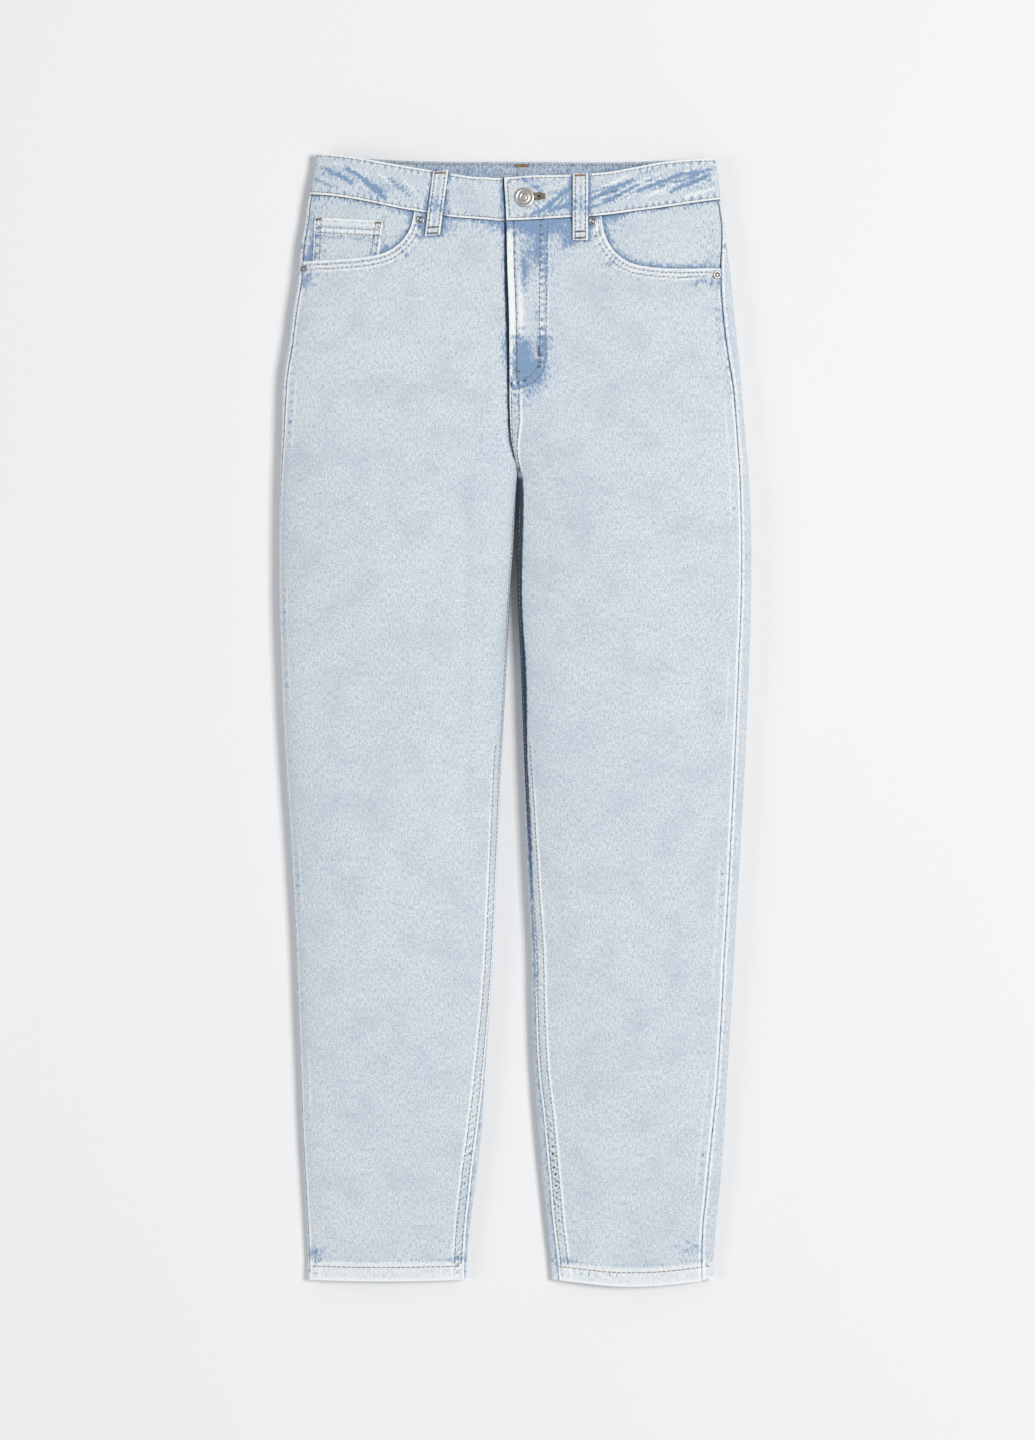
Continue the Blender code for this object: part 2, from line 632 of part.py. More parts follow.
# Pocket bearers and coin pocket
def bearer_depth(side, x, y, a_from_seam):
    """The right bearer lies one layer lower, to leave room for the coin pocket on it."""
    depth = WALL + GAP
    if side < 0:
        below_waist = band_front(x, 1) - y
        under_coin = ease(below_waist / 9.0) * ease(a_from_seam / 6.0) * ease((-98.0 - x) / 10.0 + 0.2)
        depth += (WALL + GAP) * under_coin
    else:
        depth += 0.9 * ease((x - 130.0) / 18.0) * ease((412.0 - y) / 14.0)
    return depth


def bearer(side, name):
    rows = []
    width = 112.0 if side < 0 else 118.0
    for i in range(11):
        row = []
        for j in range(12):
            share = j / 11.0
            reach = GAP + 0.2 + (width - GAP) * share ** 1.35
            y_side = 346.0 + (band_front(side * 178.5, 1) - 346.0) * i / 10.0
            a = seam_run(side, y_side, "out") + reach
            x = on_ring(side, y_side, a)[0]
            top = band_front(x, 1) - GAP / 2
            y = 346.0 + (top - 346.0) * i / 10.0
            a = seam_run(side, y, "out") + reach
            x = on_ring(side, y, a)[0]
            row.append(wall(side, y, a, bearer_depth(side, x, y, reach), WALL))
        rows.append(row)
    return sheet(name, rows, own(DENIM_BLUE, name + "_denim"), flip=side < 0)


def coin_pocket():
    rows = []
    for i in range(8):
        row = []
        for j in range(7):
            low_x = COIN_LOW[0][0] + (COIN_LOW[1][0] - COIN_LOW[0][0]) * j / 6
            top_x = COIN_TOP[0][0] + (COIN_TOP[1][0] - COIN_TOP[0][0]) * j / 6
            low_y = COIN_LOW[0][1]
            top_y = COIN_TOP[0][1] + (COIN_TOP[1][1] - COIN_TOP[0][1]) * j / 6
            t = i / 7
            x, y = low_x + (top_x - low_x) * t, low_y + (top_y - low_y) * t
            row.append(wall(-1, y, run_at_x(-1, y, x), WALL + GAP + 0.05, WALL - 0.1))
        rows.append(row)
    return sheet("coin_pocket", rows, own(DENIM, "coin_pocket_denim"), flip=True)


bearer(-1, "pocket_bearer_right")
bearer(1, "pocket_bearer_left")
coin_pocket()


# Fly
def strip(name, x_from, x_to, y_from, y_top, depth, thick, mat, columns=4):
    """Flat strip below the fly, following its edge."""
    rows = []
    for i in range(9):
        row = []
        for j in range(columns):
            y = y_from + (y_top - y_from) * i / 8
            _, inner = edges(1, y)
            x = inner + x_from + (x_to - x_from) * j / (columns - 1)
            side = 1
            if x >= inner:
                a = run_at_x(1, y, x)
            else:
                a = ring(1, y)[2] + (inner - x)
            row.append(wall(side, y, a, depth, thick))
        rows.append(row)
    return sheet(name, rows, mat, flip=True)


strip("fly_zip", 2.0, 30.0, 292.0, 427.0, 2 * WALL + 2 * GAP + 0.15, 1.2, own(TAPE, "fly_zip_tape"))
strip("fly_shield", -4.0, 38.0, 286.0, 428.0, 3 * WALL + 3 * GAP + 0.2, 1.3, own(DENIM, "fly_shield_denim"))


# Belt loops
def front_loop(name, top_x, low_x, low_y):
    side = -1 if top_x < 0 else 1
    rows = []
    clear = BAND_PROUD + GAP + 0.1
    for i in range(15):
        row = []
        for j in range(3):
            shift = LOOP_WIDTH * (j / 2 - 0.5)
            top_y = band_front(top_x, 2) + 0.6
            t = i / 14
            x = low_x + (top_x - low_x) * t + shift
            y = low_y + (top_y - low_y) * t + shift * (low_x - top_x) / -60.0
            over = ease((y - band_front(x, 1) + 8.0) / 6.5)
            depth = -(GAP + 0.15) - (clear - GAP) * over
            row.append(wall(side, y, run_at_x(side, y, x), depth - LOOP_WALL, LOOP_WALL))
        rows.append(row)
    return sheet(name, rows, own(DENIM, name + "_denim"), flip=True)


def plate(name, outline, low, high, mat):
    """Flat cloth plate with softened upper and lower rims."""
    count = len(outline)
    middle = (sum(p[0] for p in outline) / count, sum(p[1] for p in outline) / count)
    soft = 0.35

    def shrunk(by):
        ring_points = []
        for x, y in outline:
            dx, dy = middle[0] - x, middle[1] - y
            length = math.hypot(dx, dy)
            ring_points.append((x + dx / length * by, y + dy / length * by))
        return ring_points

    levels = [(shrunk(soft), low), (outline, low + soft), (outline, high - soft), (shrunk(soft), high)]
    vertices = [(x, y, z) for points, z in levels for x, y in points]
    faces = [tuple(reversed(range(count))), tuple(range(3 * count, 4 * count))]
    for level in range(3):
        for i in range(count):
            j = (i + 1) % count
            a, b = level * count + i, level * count + j
            faces.append((a, b, b + count, a + count))
    return add_object(name, vertices, faces, mat, smooth=False)


for name, (top_x, low_x, low_y) in FRONT_LOOPS.items():
    front_loop(name, top_x, low_x, low_y)
for name, x in BACK_LOOPS.items():
    half = LOOP_WIDTH / 2
    outline = [(x - half, BACK_LOOP_LOW), (x + half, BACK_LOOP_LOW),
               (x + half, BACK_LOOP_HIGH), (x - half, BACK_LOOP_HIGH)]
    plate(name, outline, 0.0, LOOP_WALL, own(DENIM, name + "_denim"))


# Back patch pockets
for side, name in ((-1, "back_pocket_right"), (1, "back_pocket_left")):
    middle = CENTRE_BACK_X + side * 105.0
    half = PATCH_SIDE / 2
    outline = [(middle - half, PATCH_TOP), (middle - half + 6.0, PATCH_LOW), (middle, PATCH_TIP),
               (middle + half - 6.0, PATCH_LOW), (middle + half, PATCH_TOP)]
    plate(name, outline, 0.0, WALL, own(DENIM, name + "_denim"))


# Button and rivets
def turned(name, profile, x, y, side, base, mat, segments=26):
    """Round metal piece standing on the surface at x, y; profile is radius and height over the base."""
    point, normal = surface(side, y, run_at_x(side, y, x))
    point = point + normal * base
    axis = Vector(normal)
    turn = Vector((0.0, 0.0, 1.0)).rotation_difference(axis).to_matrix()
    vertices, faces = [], []
    rings = []
    for radius, height in profile:
        if radius == 0.0:
            rings.append([len(vertices)])
            vertices.append(tuple(Vector(point) + turn @ Vector((0.0, 0.0, height))))
            continue
        rings.append(list(range(len(vertices), len(vertices) + segments)))
        for k in range(segments):
            angle = 2 * math.pi * k / segments
            spot = Vector((radius * math.cos(angle), radius * math.sin(angle), height))
            vertices.append(tuple(Vector(point) + turn @ spot))
    for lower, upper in zip(rings, rings[1:]):
        for k in range(segments):
            j = (k + 1) % segments
            if len(lower) == 1:
                faces.append((lower[0], upper[j], upper[k]))
            elif len(upper) == 1:
                faces.append((lower[k], lower[j], upper[0]))
            else:
                faces.append((lower[k], lower[j], upper[j], upper[k]))
    return add_object(name, vertices, faces, mat)


SHANK = BAND_WALL + GAP
BUTTON_PROFILE = [(0.0, -SHANK), (2.2, -SHANK), (2.2, 0.0), (7.4, 0.0), (8.2, 0.35), (8.5, 0.9), (8.3, 1.5),
                  (7.6, 1.85), (6.9, 1.75), (6.3, 1.35), (5.6, 1.25), (4.6, 1.35), (4.2, 1.65), (3.7, 1.65),
                  (3.4, 1.4), (1.6, 1.45), (0.0, 1.5)]
turned("button", BUTTON_PROFILE, BUTTON_X, BUTTON_Y, 1, BAND_PROUD + GAP, own(STEEL, "button_steel"))
RIVET_PROFILE = [(0.0, 0.0), (2.9, 0.0), (3.3, 0.25), (3.2, 0.6), (2.6, 0.85), (1.7, 0.8), (1.3, 0.45),
                 (0.9, 0.4), (0.0, 0.7)]
for name, (x, y) in RIVETS.items():
    side = -1 if x < 0 else 1
    stand = GAP + (0.5 if name == "rivet_left_outer" else 0.05)
    turned(name, RIVET_PROFILE, x, y, side, stand, own(STEEL, name + "_steel"), segments=14)

# the buttonhole in the left waistband: an eye round the shank and a slit towards the side
point, normal = surface(1, BUTTON_Y, run_at_x(1, BUTTON_Y, BUTTON_X))
eye = [(BUTTON_X + 2.9 * math.cos(math.pi * k / 8), BUTTON_Y + 2.9 * math.sin(math.pi * k / 8))
       for k in range(16)]
cut(band_left, prism("eye_cutter", eye, point[2] - 12.0, point[2] + 12.0))
slit = [(BUTTON_X + 2.0, BUTTON_Y - 0.9), (BUTTONHOLE_END, BUTTON_Y + 0.5),
        (BUTTONHOLE_END, BUTTON_Y + 2.3), (BUTTON_X + 2.0, BUTTON_Y + 0.9)]
cut(band_left, prism("slit_cutter", slit, point[2] - 12.0, point[2] + 12.0))
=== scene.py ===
# %% [markdown]
# # Light-wash jeans laid flat on a table
# The real garment is sewn from flat pieces of denim: fronts, backs, yokes, a waistband, pockets and loops.
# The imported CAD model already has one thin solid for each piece. This lesson dresses each of those solids
# with a finer shell of cloth on the same form, then adds what is too fine for CAD: seam ridges, puckers,
# topstitching, bartacks, zip teeth and the wash of the denim.

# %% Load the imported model
import math
import bpy
import numpy as np
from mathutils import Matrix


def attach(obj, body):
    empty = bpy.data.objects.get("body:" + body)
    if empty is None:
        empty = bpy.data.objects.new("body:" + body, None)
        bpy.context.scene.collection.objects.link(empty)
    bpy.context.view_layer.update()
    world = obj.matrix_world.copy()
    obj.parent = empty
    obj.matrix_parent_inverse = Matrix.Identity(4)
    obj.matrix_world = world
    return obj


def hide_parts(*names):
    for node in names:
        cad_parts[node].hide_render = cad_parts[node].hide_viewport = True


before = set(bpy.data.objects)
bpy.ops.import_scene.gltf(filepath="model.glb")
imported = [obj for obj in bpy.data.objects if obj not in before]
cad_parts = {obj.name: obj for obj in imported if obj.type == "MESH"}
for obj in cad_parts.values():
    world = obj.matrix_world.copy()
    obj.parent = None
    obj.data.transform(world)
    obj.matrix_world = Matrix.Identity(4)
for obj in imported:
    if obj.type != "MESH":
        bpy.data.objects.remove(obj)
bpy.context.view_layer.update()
print("cloth pieces and fittings:", len(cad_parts))

# %% [markdown]
# ## The form that all the cloth follows
# Laid-out jeans are two soft tubes that join above the crotch. A cross-section every few centimetres tells
# where the edges lie and how high the cloth stands. All lengths here are in millimetres, X runs to the
# wearer's left, Y from the hems to the waist and Z up from the table; meshes are scaled to metres at the end.
# These are the values the solids were built from, so every shell lies where its solid does.

# %% Measurements of the garment
MM = 0.001
WALL = 1.2            # denim panel
HEM_WALL = 2.4        # denim folded over at the hem
BAND_WALL = 2.6       # waistband, two layers with stiffening
BAND_PROUD = 0.9      # how far the waistband stands over the panels
LOOP_WALL = 2.0       # belt loop, denim folded in three
GAP = 0.3             # space left between neighbouring pieces
HEM_Y = -485.2
HEM_HEIGHT = 12.0
EDGE_ROUND = 7.0      # how far in the underside starts to round up to the side edge
BACK_LIFT = 2.3       # the back of the waist rides on its belt loops
POCKET_LIFT = 1.5     # the seat rides on its patch pockets
TAB_REACH = 28.0      # how far the waistband's underlap runs on below the tab
FLY_LAP = 8.0         # how far the right front runs on below the left front
CROTCH_Y = 214.0
CENTRE_BACK_X = 2.2

# One row per cross-section of both legs, from below the hems up to the waist:
# y, right outer edge, right inner edge, left inner edge, left outer edge,
# height of the side edges, height of the crown, crown's place (0 inner edge, 1 outer edge),
# roundness of the outer shoulder (2 is an ellipse, more is squarer)
SECTION = {"out_r": 1, "in_r": 2, "in_l": 3, "out_l": 4, "edge": 5, "crown": 6, "peak": 7, "square": 8}
SECTIONS = np.array([
    (-500.0, -179.0, -41.8, 34.0, 172.2, 5.6, 12.6, 0.50, 2.5),
    (-472.0, -179.0, -41.6, 31.4, 172.2, 5.6, 13.4, 0.50, 2.5),
    (-440.0, -180.0, -39.1, 28.0, 174.5, 5.8, 16.0, 0.50, 2.4),
    (-400.0, -182.0, -33.9, 24.0, 178.5, 6.0, 19.0, 0.50, 2.4),
    (-350.0, -184.5, -28.5, 19.4, 181.9, 6.2, 22.0, 0.50, 2.3),
    (-300.0, -186.1, -25.4, 16.0, 184.7, 6.4, 24.3, 0.50, 2.3),
    (-250.0, -188.0, -21.8, 14.5, 187.8, 6.6, 26.0, 0.50, 2.3),
    (-200.0, -189.4, -18.7, 13.9, 190.4, 6.8, 27.4, 0.50, 2.3),
    (-150.0, -191.9, -16.6, 11.5, 193.5, 7.0, 28.6, 0.50, 2.3),
    (-100.0, -194.5, -14.4, 9.5, 196.2, 7.2, 29.8, 0.50, 2.3),
    (-50.0, -197.8, -12.5, 7.7, 198.8, 7.4, 31.0, 0.50, 2.3),
    (0.0, -200.7, -9.8, 6.1, 201.1, 7.6, 32.2, 0.50, 2.3),
    (50.0, -202.4, -7.1, 4.4, 203.2, 7.8, 33.2, 0.50, 2.3),
    (100.0, -204.0, -4.7, 2.4, 204.6, 8.0, 34.0, 0.49, 2.3),
    (150.0, -204.3, -1.2, 1.6, 204.8, 8.0, 34.0, 0.47, 2.3),
    (200.0, -203.7, 1.2, 2.8, 203.2, 8.0, 33.0, 0.44, 2.4),
    (214.0, -203.4, 2.0, 2.4, 202.6, 8.0, 32.4, 0.43, 2.4),
    (240.0, -202.5, -2.9, -2.9, 200.2, 8.0, 31.0, 0.41, 2.5),
    (270.0, -202.0, -4.6, -4.6, 197.8, 8.0, 29.4, 0.38, 2.6),
    (300.0, -200.9, -4.8, -4.8, 195.4, 8.0, 28.0, 0.35, 2.7),
    (330.0, -195.9, -5.0, -5.0, 192.4, 8.0, 27.0, 0.33, 2.8),
    (360.0, -192.2, -5.6, -5.6, 189.3, 8.0, 26.2, 0.32, 2.8),
    (390.0, -187.3, -6.7, -6.7, 186.4, 8.0, 25.4, 0.31, 2.8),
    (410.0, -185.7, -7.1, -7.1, 183.6, 8.0, 24.6, 0.30, 2.8),
    (430.0, -181.9, -7.5, -7.5, 181.6, 8.0, 23.6, 0.30, 2.8),
    (450.0, -179.2, -8.4, -8.4, 178.4, 8.0, 22.4, 0.30, 2.8),
    (470.0, -174.9, -9.5, -9.5, 175.8, 8.0, 21.0, 0.30, 2.8),
    (482.0, -172.6, -9.5, -9.5, 174.4, 8.0, 20.2, 0.30, 2.8),
    (500.0, -172.2, -9.5, -9.5, 174.2, 8.0, 19.0, 0.30, 2.8),
])

# How far in from the side edge, on the upper side, each seam runs:
# y, right outseam, right inseam, left inseam, left outseam
SEAM = {"out_r": 1, "in_r": 2, "in_l": 3, "out_l": 4}
SEAMS = np.array([
    (-500.0, 0.6, 2.6, 6.0, 10.4),
    (-470.0, 0.6, 2.6, 6.0, 10.4),
    (-433.0, 0.6, 3.4, 5.6, 12.0),
    (-391.0, 0.6, 4.4, 6.2, 11.8),
    (-349.0, 0.6, 3.4, 6.2, 10.2),
    (-312.0, 0.6, 1.8, 4.6, 8.6),
    (-200.0, 0.6, 0.6, 3.2, 9.0),
    (-95.0, 0.6, 0.6, 1.8, 9.2),
    (0.0, 0.6, 0.6, 0.6, 9.6),
    (49.0, 0.6, 0.6, 0.6, 9.6),
    (137.0, 0.6, 0.6, 0.6, 8.8),
    (200.0, 0.9, 0.5, 0.5, 8.2),
    (214.0, 1.2, 0.0, 0.0, 8.0),
    (249.0, 2.3, 0.0, 0.0, 7.2),
    (281.0, 3.3, 0.0, 0.0, 7.0),
    (312.0, 4.2, 0.0, 0.0, 9.0),
    (336.0, 3.6, 0.0, 0.0, 9.9),
    (372.0, 4.2, 0.0, 0.0, 9.4),
    (392.0, 2.9, 0.0, 0.0, 7.6),
    (417.0, 2.2, 0.0, 0.0, 3.0),
    (450.0, 1.6, 0.0, 0.0, 1.6),
    (500.0, 1.6, 0.0, 0.0, 1.6),
])

# The waistband's edges as they lie: x, front lower edge, front upper edge
BAND_FRONT = np.array([
    (-179.0, 455.4, 491.2), (-157.0, 453.3, 489.5), (-139.0, 450.4, 487.0), (-119.0, 446.2, 483.2),
    (-98.0, 441.8, 479.4), (-78.0, 438.6, 476.0), (-56.0, 434.8, 472.4), (-36.0, 433.0, 469.4),
    (-10.0, 431.4, 468.9), (15.0, 432.4, 470.6), (50.0, 434.4, 471.3), (64.0, 434.9, 472.2),
    (84.0, 436.9, 474.0), (105.0, 440.0, 478.0), (125.0, 442.7, 482.0), (150.0, 446.6, 484.8),
    (178.0, 450.9, 486.6),
])
# x, back lower edge, back upper edge, yoke seam
BAND_BACK = np.array([
    (-180.0, 455.4, 491.2, 405.0), (-147.0, 451.0, 488.4, 399.0), (-113.0, 448.0, 486.0, 393.0),
    (-80.0, 446.4, 484.6, 387.0), (-42.0, 445.6, 484.0, 380.0), (2.2, 445.4, 484.1, 372.0),
    (56.0, 445.6, 483.7, 382.0), (104.0, 446.4, 484.0, 391.0), (125.0, 447.6, 485.0, 395.0),
    (153.0, 449.4, 486.0, 400.0), (180.0, 450.9, 486.6, 405.0),
])
# Largest folds of the upper side: x and y of one end, x and y of the other, half width, rise
FOLDS = [
    (175.5, 372.0, 181.0, 330.0, 5.0, -3.4),      # hollow beside the left pocket's lower end
    (181.0, 330.0, 190.0, 274.0, 4.5, -2.2),
    (181.0, 414.0, 171.0, 394.0, 5.0, -2.0),      # left pocket edge gaping
    (-186.0, 384.0, -192.0, 330.0, 4.0, -1.2),    # beside the right pocket's lower end
    (30.0, 300.0, 74.0, 250.0, 12.0, -1.0),       # soft pull lines below the fly
    (-22.0, 300.0, -66.0, 246.0, 12.0, -1.0),
    (-18.0, 215.0, -20.0, 60.0, 12.0, -1.2),
    (-150.0, -30.0, -80.0, -60.0, 16.0, -1.0),    # knees
    (80.0, -50.0, 150.0, -20.0, 16.0, -1.0),
]

# Pocket mouths seen from above, x and y, from the waist seam to the outseam
MOUTH_RIGHT = [(-86.4, 452.0), (-87.0, 438.7), (-89.5, 426.6), (-93.4, 418.9), (-98.4, 412.7),
               (-106.0, 406.4), (-116.3, 401.8), (-131.8, 399.2), (-150.9, 397.8), (-169.9, 397.2),
               (-184.0, 396.6), (-215.0, 396.0)]
MOUTH_LEFT = [(74.4, 452.0), (74.9, 433.8), (76.8, 420.4), (82.4, 408.4), (92.1, 398.3), (104.5, 392.6),
              (125.2, 390.0), (146.0, 389.6), (165.3, 390.4), (180.0, 390.8), (215.0, 391.0)]
COIN_TOP = [(-174.1, 435.5), (-113.7, 431.7)]
COIN_LOW = [(-176.6, 376.0), (-120.4, 376.0)]
LOOP_WIDTH = 13.4
# wearer's side, x at the top, x at the bottom, y of the bottom end
FRONT_LOOPS = {"belt_loop_front_right": (-64.2, -71.4, 418.0), "belt_loop_front_left": (56.6, 56.4, 414.0)}
BACK_LOOPS = {"belt_loop_back_right": -96.0, "belt_loop_back_center": 2.2, "belt_loop_back_left": 100.0}
BACK_LOOP_LOW, BACK_LOOP_HIGH = 426.0, 485.6
BUTTON_X, BUTTON_Y = 8.0, 451.3
BUTTONHOLE_END = 22.5
RIVETS = {"rivet_right_inner": (-81.8, 432.0), "rivet_left_inner": (67.2, 430.5),
          "rivet_right_outer": (-182.4, 390.3), "rivet_left_outer": (174.6, 384.9)}
PATCH_SIDE, PATCH_TOP, PATCH_LOW, PATCH_TIP = 130.0, 362.0, 240.0, 218.0

# %% [markdown]
# ## Reading the form quickly
# A shell has tens of thousands of points, so the form is worked out once on a table of cross-sections and
# every point is then read from that table. A place on the cloth is given by its height Y along the garment
# and by its running length a: 0 at the side edge, positive over the upper side, negative round below.

# %% Curves and cross-sections
def step(t, low, high):
    """Soft step from 0 at low to 1 at high."""
    t = np.clip((t - low) / (high - low), 0.0, 1.0)
    return t * t * (3.0 - 2.0 * t)


def bell(t, middle, width):
    """Soft bump of height 1."""
    return np.exp(-((t - middle) / width) ** 2)


def blend(table, column, y):
    """Smooth curve through one column of a table, read at y."""
    ys, vs = table[:, 0], table[:, column]
    y = np.clip(y, ys[0], ys[-1])
    i = np.clip(np.searchsorted(ys, y) - 1, 0, len(ys) - 2)
    gap = np.diff(ys)
    rise = np.diff(vs) / gap
    slope = np.concatenate([rise[:1], 0.5 * (rise[:-1] + rise[1:]), rise[-1:]])
    slope[1:-1][rise[:-1] * rise[1:] <= 0] = 0.0
    t = (y - ys[i]) / gap[i]
    return ((2 * t ** 3 - 3 * t ** 2 + 1) * vs[i] + (t ** 3 - 2 * t ** 2 + t) * gap[i] * slope[i]
            + (3 * t ** 2 - 2 * t ** 3) * vs[i + 1] + (t ** 3 - t ** 2) * gap[i] * slope[i + 1])


def section(name, y):
    return blend(SECTIONS, SECTION[name], y)


def edges(side, y):
    """Outer and inner edge of one half; side -1 is the wearer's right."""
    tag = "_r" if side < 0 else "_l"
    return section("out" + tag, y), section("in" + tag, y)


def folds(x, y, table):
    """Sum of long soft hollows or ridges, each fading out towards its ends."""
    total = np.zeros(np.broadcast(x, y).shape)
    for x0, y0, x1, y1, half, rise in table:
        along_x, along_y = x1 - x0, y1 - y0
        length = math.hypot(along_x, along_y)
        t = ((x - x0) * along_x + (y - y0) * along_y) / length ** 2
        across = ((x - x0) * along_y - (y - y0) * along_x) / length
        over = np.maximum(0.0, np.maximum(-t, t - 1.0)) * length
        total = total + rise * np.exp(-(across / half) ** 2 - (over / (1.5 * half)) ** 2)
    return total


def top_height(side, x, y):
    """Height of the upper side over the table along one cross-section."""
    outer, inner = edges(side, y)
    closing = step(y, 300.0, CROTCH_Y)
    peak = section("peak", y)
    square = section("square", y)
    edge = section("edge", y)
    u = np.clip((x - inner) / (outer - inner), 0.0, 1.0)
    outward = np.clip((u - peak) / (1.0 - peak), 0.0, 1.0)
    inward = np.clip((peak - u) / peak, 0.0, 1.0)
    part = np.maximum(0.0, 1.0 - outward ** square) ** (1.0 / square)
    part = part * np.maximum(0.0, 1.0 - closing * inward ** 2.3) ** (1.0 / 2.3)
    near = np.minimum(1.0, np.abs(outer - x) / 8.0)
    return edge + (section("crown", y) - edge) * part + folds(x, y, FOLDS) * near * part


# %% One table of cross-sections for each leg
ROWS = np.arange(-500.0, 501.0, 2.0)
TOP_COUNT, UNDER_COUNT, BEYOND_COUNT, BEYOND_STEP = 241, 81, 40, 1.5


def cross_section(side, y):
    """Outline at y: x, z and running length of the underside, the upper side and a little beyond it."""
    outer, inner = edges(side, y)
    closed = y <= CROTCH_Y
    edge = section("edge", y)
    lift = BACK_LIFT * step(y, 400.0, 422.0)
    back_inner = inner if closed else CENTRE_BACK_X + side * GAP / 2
    closing = step(y, 250.0, CROTCH_Y)
    turn = np.linspace(0.0, math.pi / 2, 13)
    x_from, x_to = back_inner + side * EDGE_ROUND, outer - side * EDGE_ROUND
    under_x = np.concatenate([x_from - side * EDGE_ROUND * np.sin(turn[::-1]),
                              np.linspace(x_from, x_to, 25)[1:-1], x_to + side * EDGE_ROUND * np.sin(turn)])
    under_z = np.concatenate([lift + edge * closing * (1.0 - np.cos(turn[::-1])), np.full(23, lift),
                              lift + (edge - lift) * (1.0 - np.cos(turn))])
    t = np.linspace(0.0, 1.0, 161)[1:]
    u = 0.5 - 0.5 * np.cos(math.pi * t) if step(y, 300.0, CROTCH_Y) > 0.02 else 1.0 - np.cos(math.pi / 2 * t)
    top_x = outer + (inner - outer) * u
    top_z = top_height(side, top_x, y)
    more_x = inner - side * BEYOND_STEP * np.arange(1, BEYOND_COUNT + 1)
    more_z = top_height(-side, more_x, y) if not closed else np.full(BEYOND_COUNT, top_z[-1])
    x = np.concatenate([under_x, top_x])
    z = np.concatenate([under_z, top_z])
    run = np.concatenate([[0.0], np.cumsum(np.hypot(np.diff(x), np.diff(z)))])
    run -= run[len(under_x) - 1]
    return x, z, run, more_x, more_z, outer, inner


def measure_form(side):
    form = {key: [] for key in ("top", "under", "beyond", "end", "start", "inverse")}
    for y in ROWS:
        x, z, run, more_x, more_z, outer, inner = cross_section(side, y)
        over = np.linspace(0.0, run[-1], TOP_COUNT)
        below = np.linspace(0.0, run[0], UNDER_COUNT)
        form["top"].append(np.stack([np.interp(over, run, x), np.interp(over, run, z)], 1))
        form["under"].append(np.stack([np.interp(below, run, x), np.interp(below, run, z)], 1))
        form["beyond"].append(np.stack([np.append(x[-1], more_x), np.append(z[-1], more_z)], 1))
        form["end"].append(run[-1])
        form["start"].append(run[0])
        spread = np.linspace(0.0, math.pi, TOP_COUNT)
        wanted = inner + (outer - inner) * 0.5 * (1.0 + np.cos(spread))
        upper = run >= 0.0
        form["inverse"].append(np.interp(-side * wanted, -side * x[upper], run[upper]))
    return {key: np.array(value) for key, value in form.items()}


FORM = {side: measure_form(side) for side in (-1, 1)}
print("cross-sections measured:", len(ROWS), "a side")


def pick(table, row, column):
    """Read a table between its rows and columns."""
    i = np.clip(row.astype(int), 0, table.shape[0] - 2)
    j = np.clip(column.astype(int), 0, table.shape[1] - 2)
    f, g = row - i, np.clip(column - j, 0.0, 1.0)
    if table.ndim == 3:
        f, g = f[..., None], g[..., None]
    low = table[i, j] * (1 - g) + table[i, j + 1] * g
    high = table[i + 1, j] * (1 - g) + table[i + 1, j + 1] * g
    return low * (1 - f) + high * f


def row_of(y):
    return np.clip((y - ROWS[0]) / (ROWS[1] - ROWS[0]), 0.0, len(ROWS) - 1.001)


def top_end(side, y):
    """Running length of the upper side, from the side edge to the inner edge."""
    return np.interp(y, ROWS, FORM[side]["end"])


def under_end(side, y):
    return np.interp(y, ROWS, FORM[side]["start"])


def spot(side, y, a):
    """x and z of a place on the garment's outer side."""
    y, a = np.broadcast_arrays(np.asarray(y, float), np.asarray(a, float))
    form, row = FORM[side], row_of(y)
    end, start = top_end(side, y), under_end(side, y)
    closed = y <= CROTCH_Y
    past, before = closed & (a > end), closed & (a < start)
    a = np.where(past, start + (a - end), np.where(before, end - (start - a), a))
    over = pick(form["top"], row, np.clip(a / end, 0, 1) * (TOP_COUNT - 1))
    below = pick(form["under"], row, np.clip(a / start, 0, 1) * (UNDER_COUNT - 1))
    beyond = pick(form["beyond"], row, np.clip((a - end) / BEYOND_STEP, 0, BEYOND_COUNT - 0.01))
    choice = np.where((a < 0)[..., None], below, np.where((a > end)[..., None], beyond, over))
    return choice[..., 0], choice[..., 1]


def slide(side, y_new, y_old, a):
    """The matching place on a neighbouring cross-section."""
    share = np.where(a > 0, top_end(side, y_new) / top_end(side, y_old),
                     under_end(side, y_new) / under_end(side, y_old))
    return spot(side, y_new, a * share)


def outward(side, y, a):
    """Direction away from the garment at each place."""
    ahead, behind = spot(side, y, a + 1.2), spot(side, y, a - 1.2)
    across_x, across_z = ahead[0] - behind[0], ahead[1] - behind[1]
    weak = np.abs(across_x) + np.abs(across_z) < 0.2
    across_x = np.where(weak, -side, across_x)
    across_z = np.where(weak, 0.0, across_z)
    up, down = slide(side, y + 3.0, y, a), slide(side, y - 3.0, y, a)
    across = np.stack([across_x, np.zeros_like(across_x), across_z], -1)
    along = np.stack([up[0] - down[0], np.full_like(across_x, 6.0), up[1] - down[1]], -1)
    normal = np.cross(along, across) * side
    normal /= np.linalg.norm(normal, axis=-1, keepdims=True)
    normal[..., 1] = np.clip(normal[..., 1], -0.5, 0.5)
    return normal / np.linalg.norm(normal, axis=-1, keepdims=True)


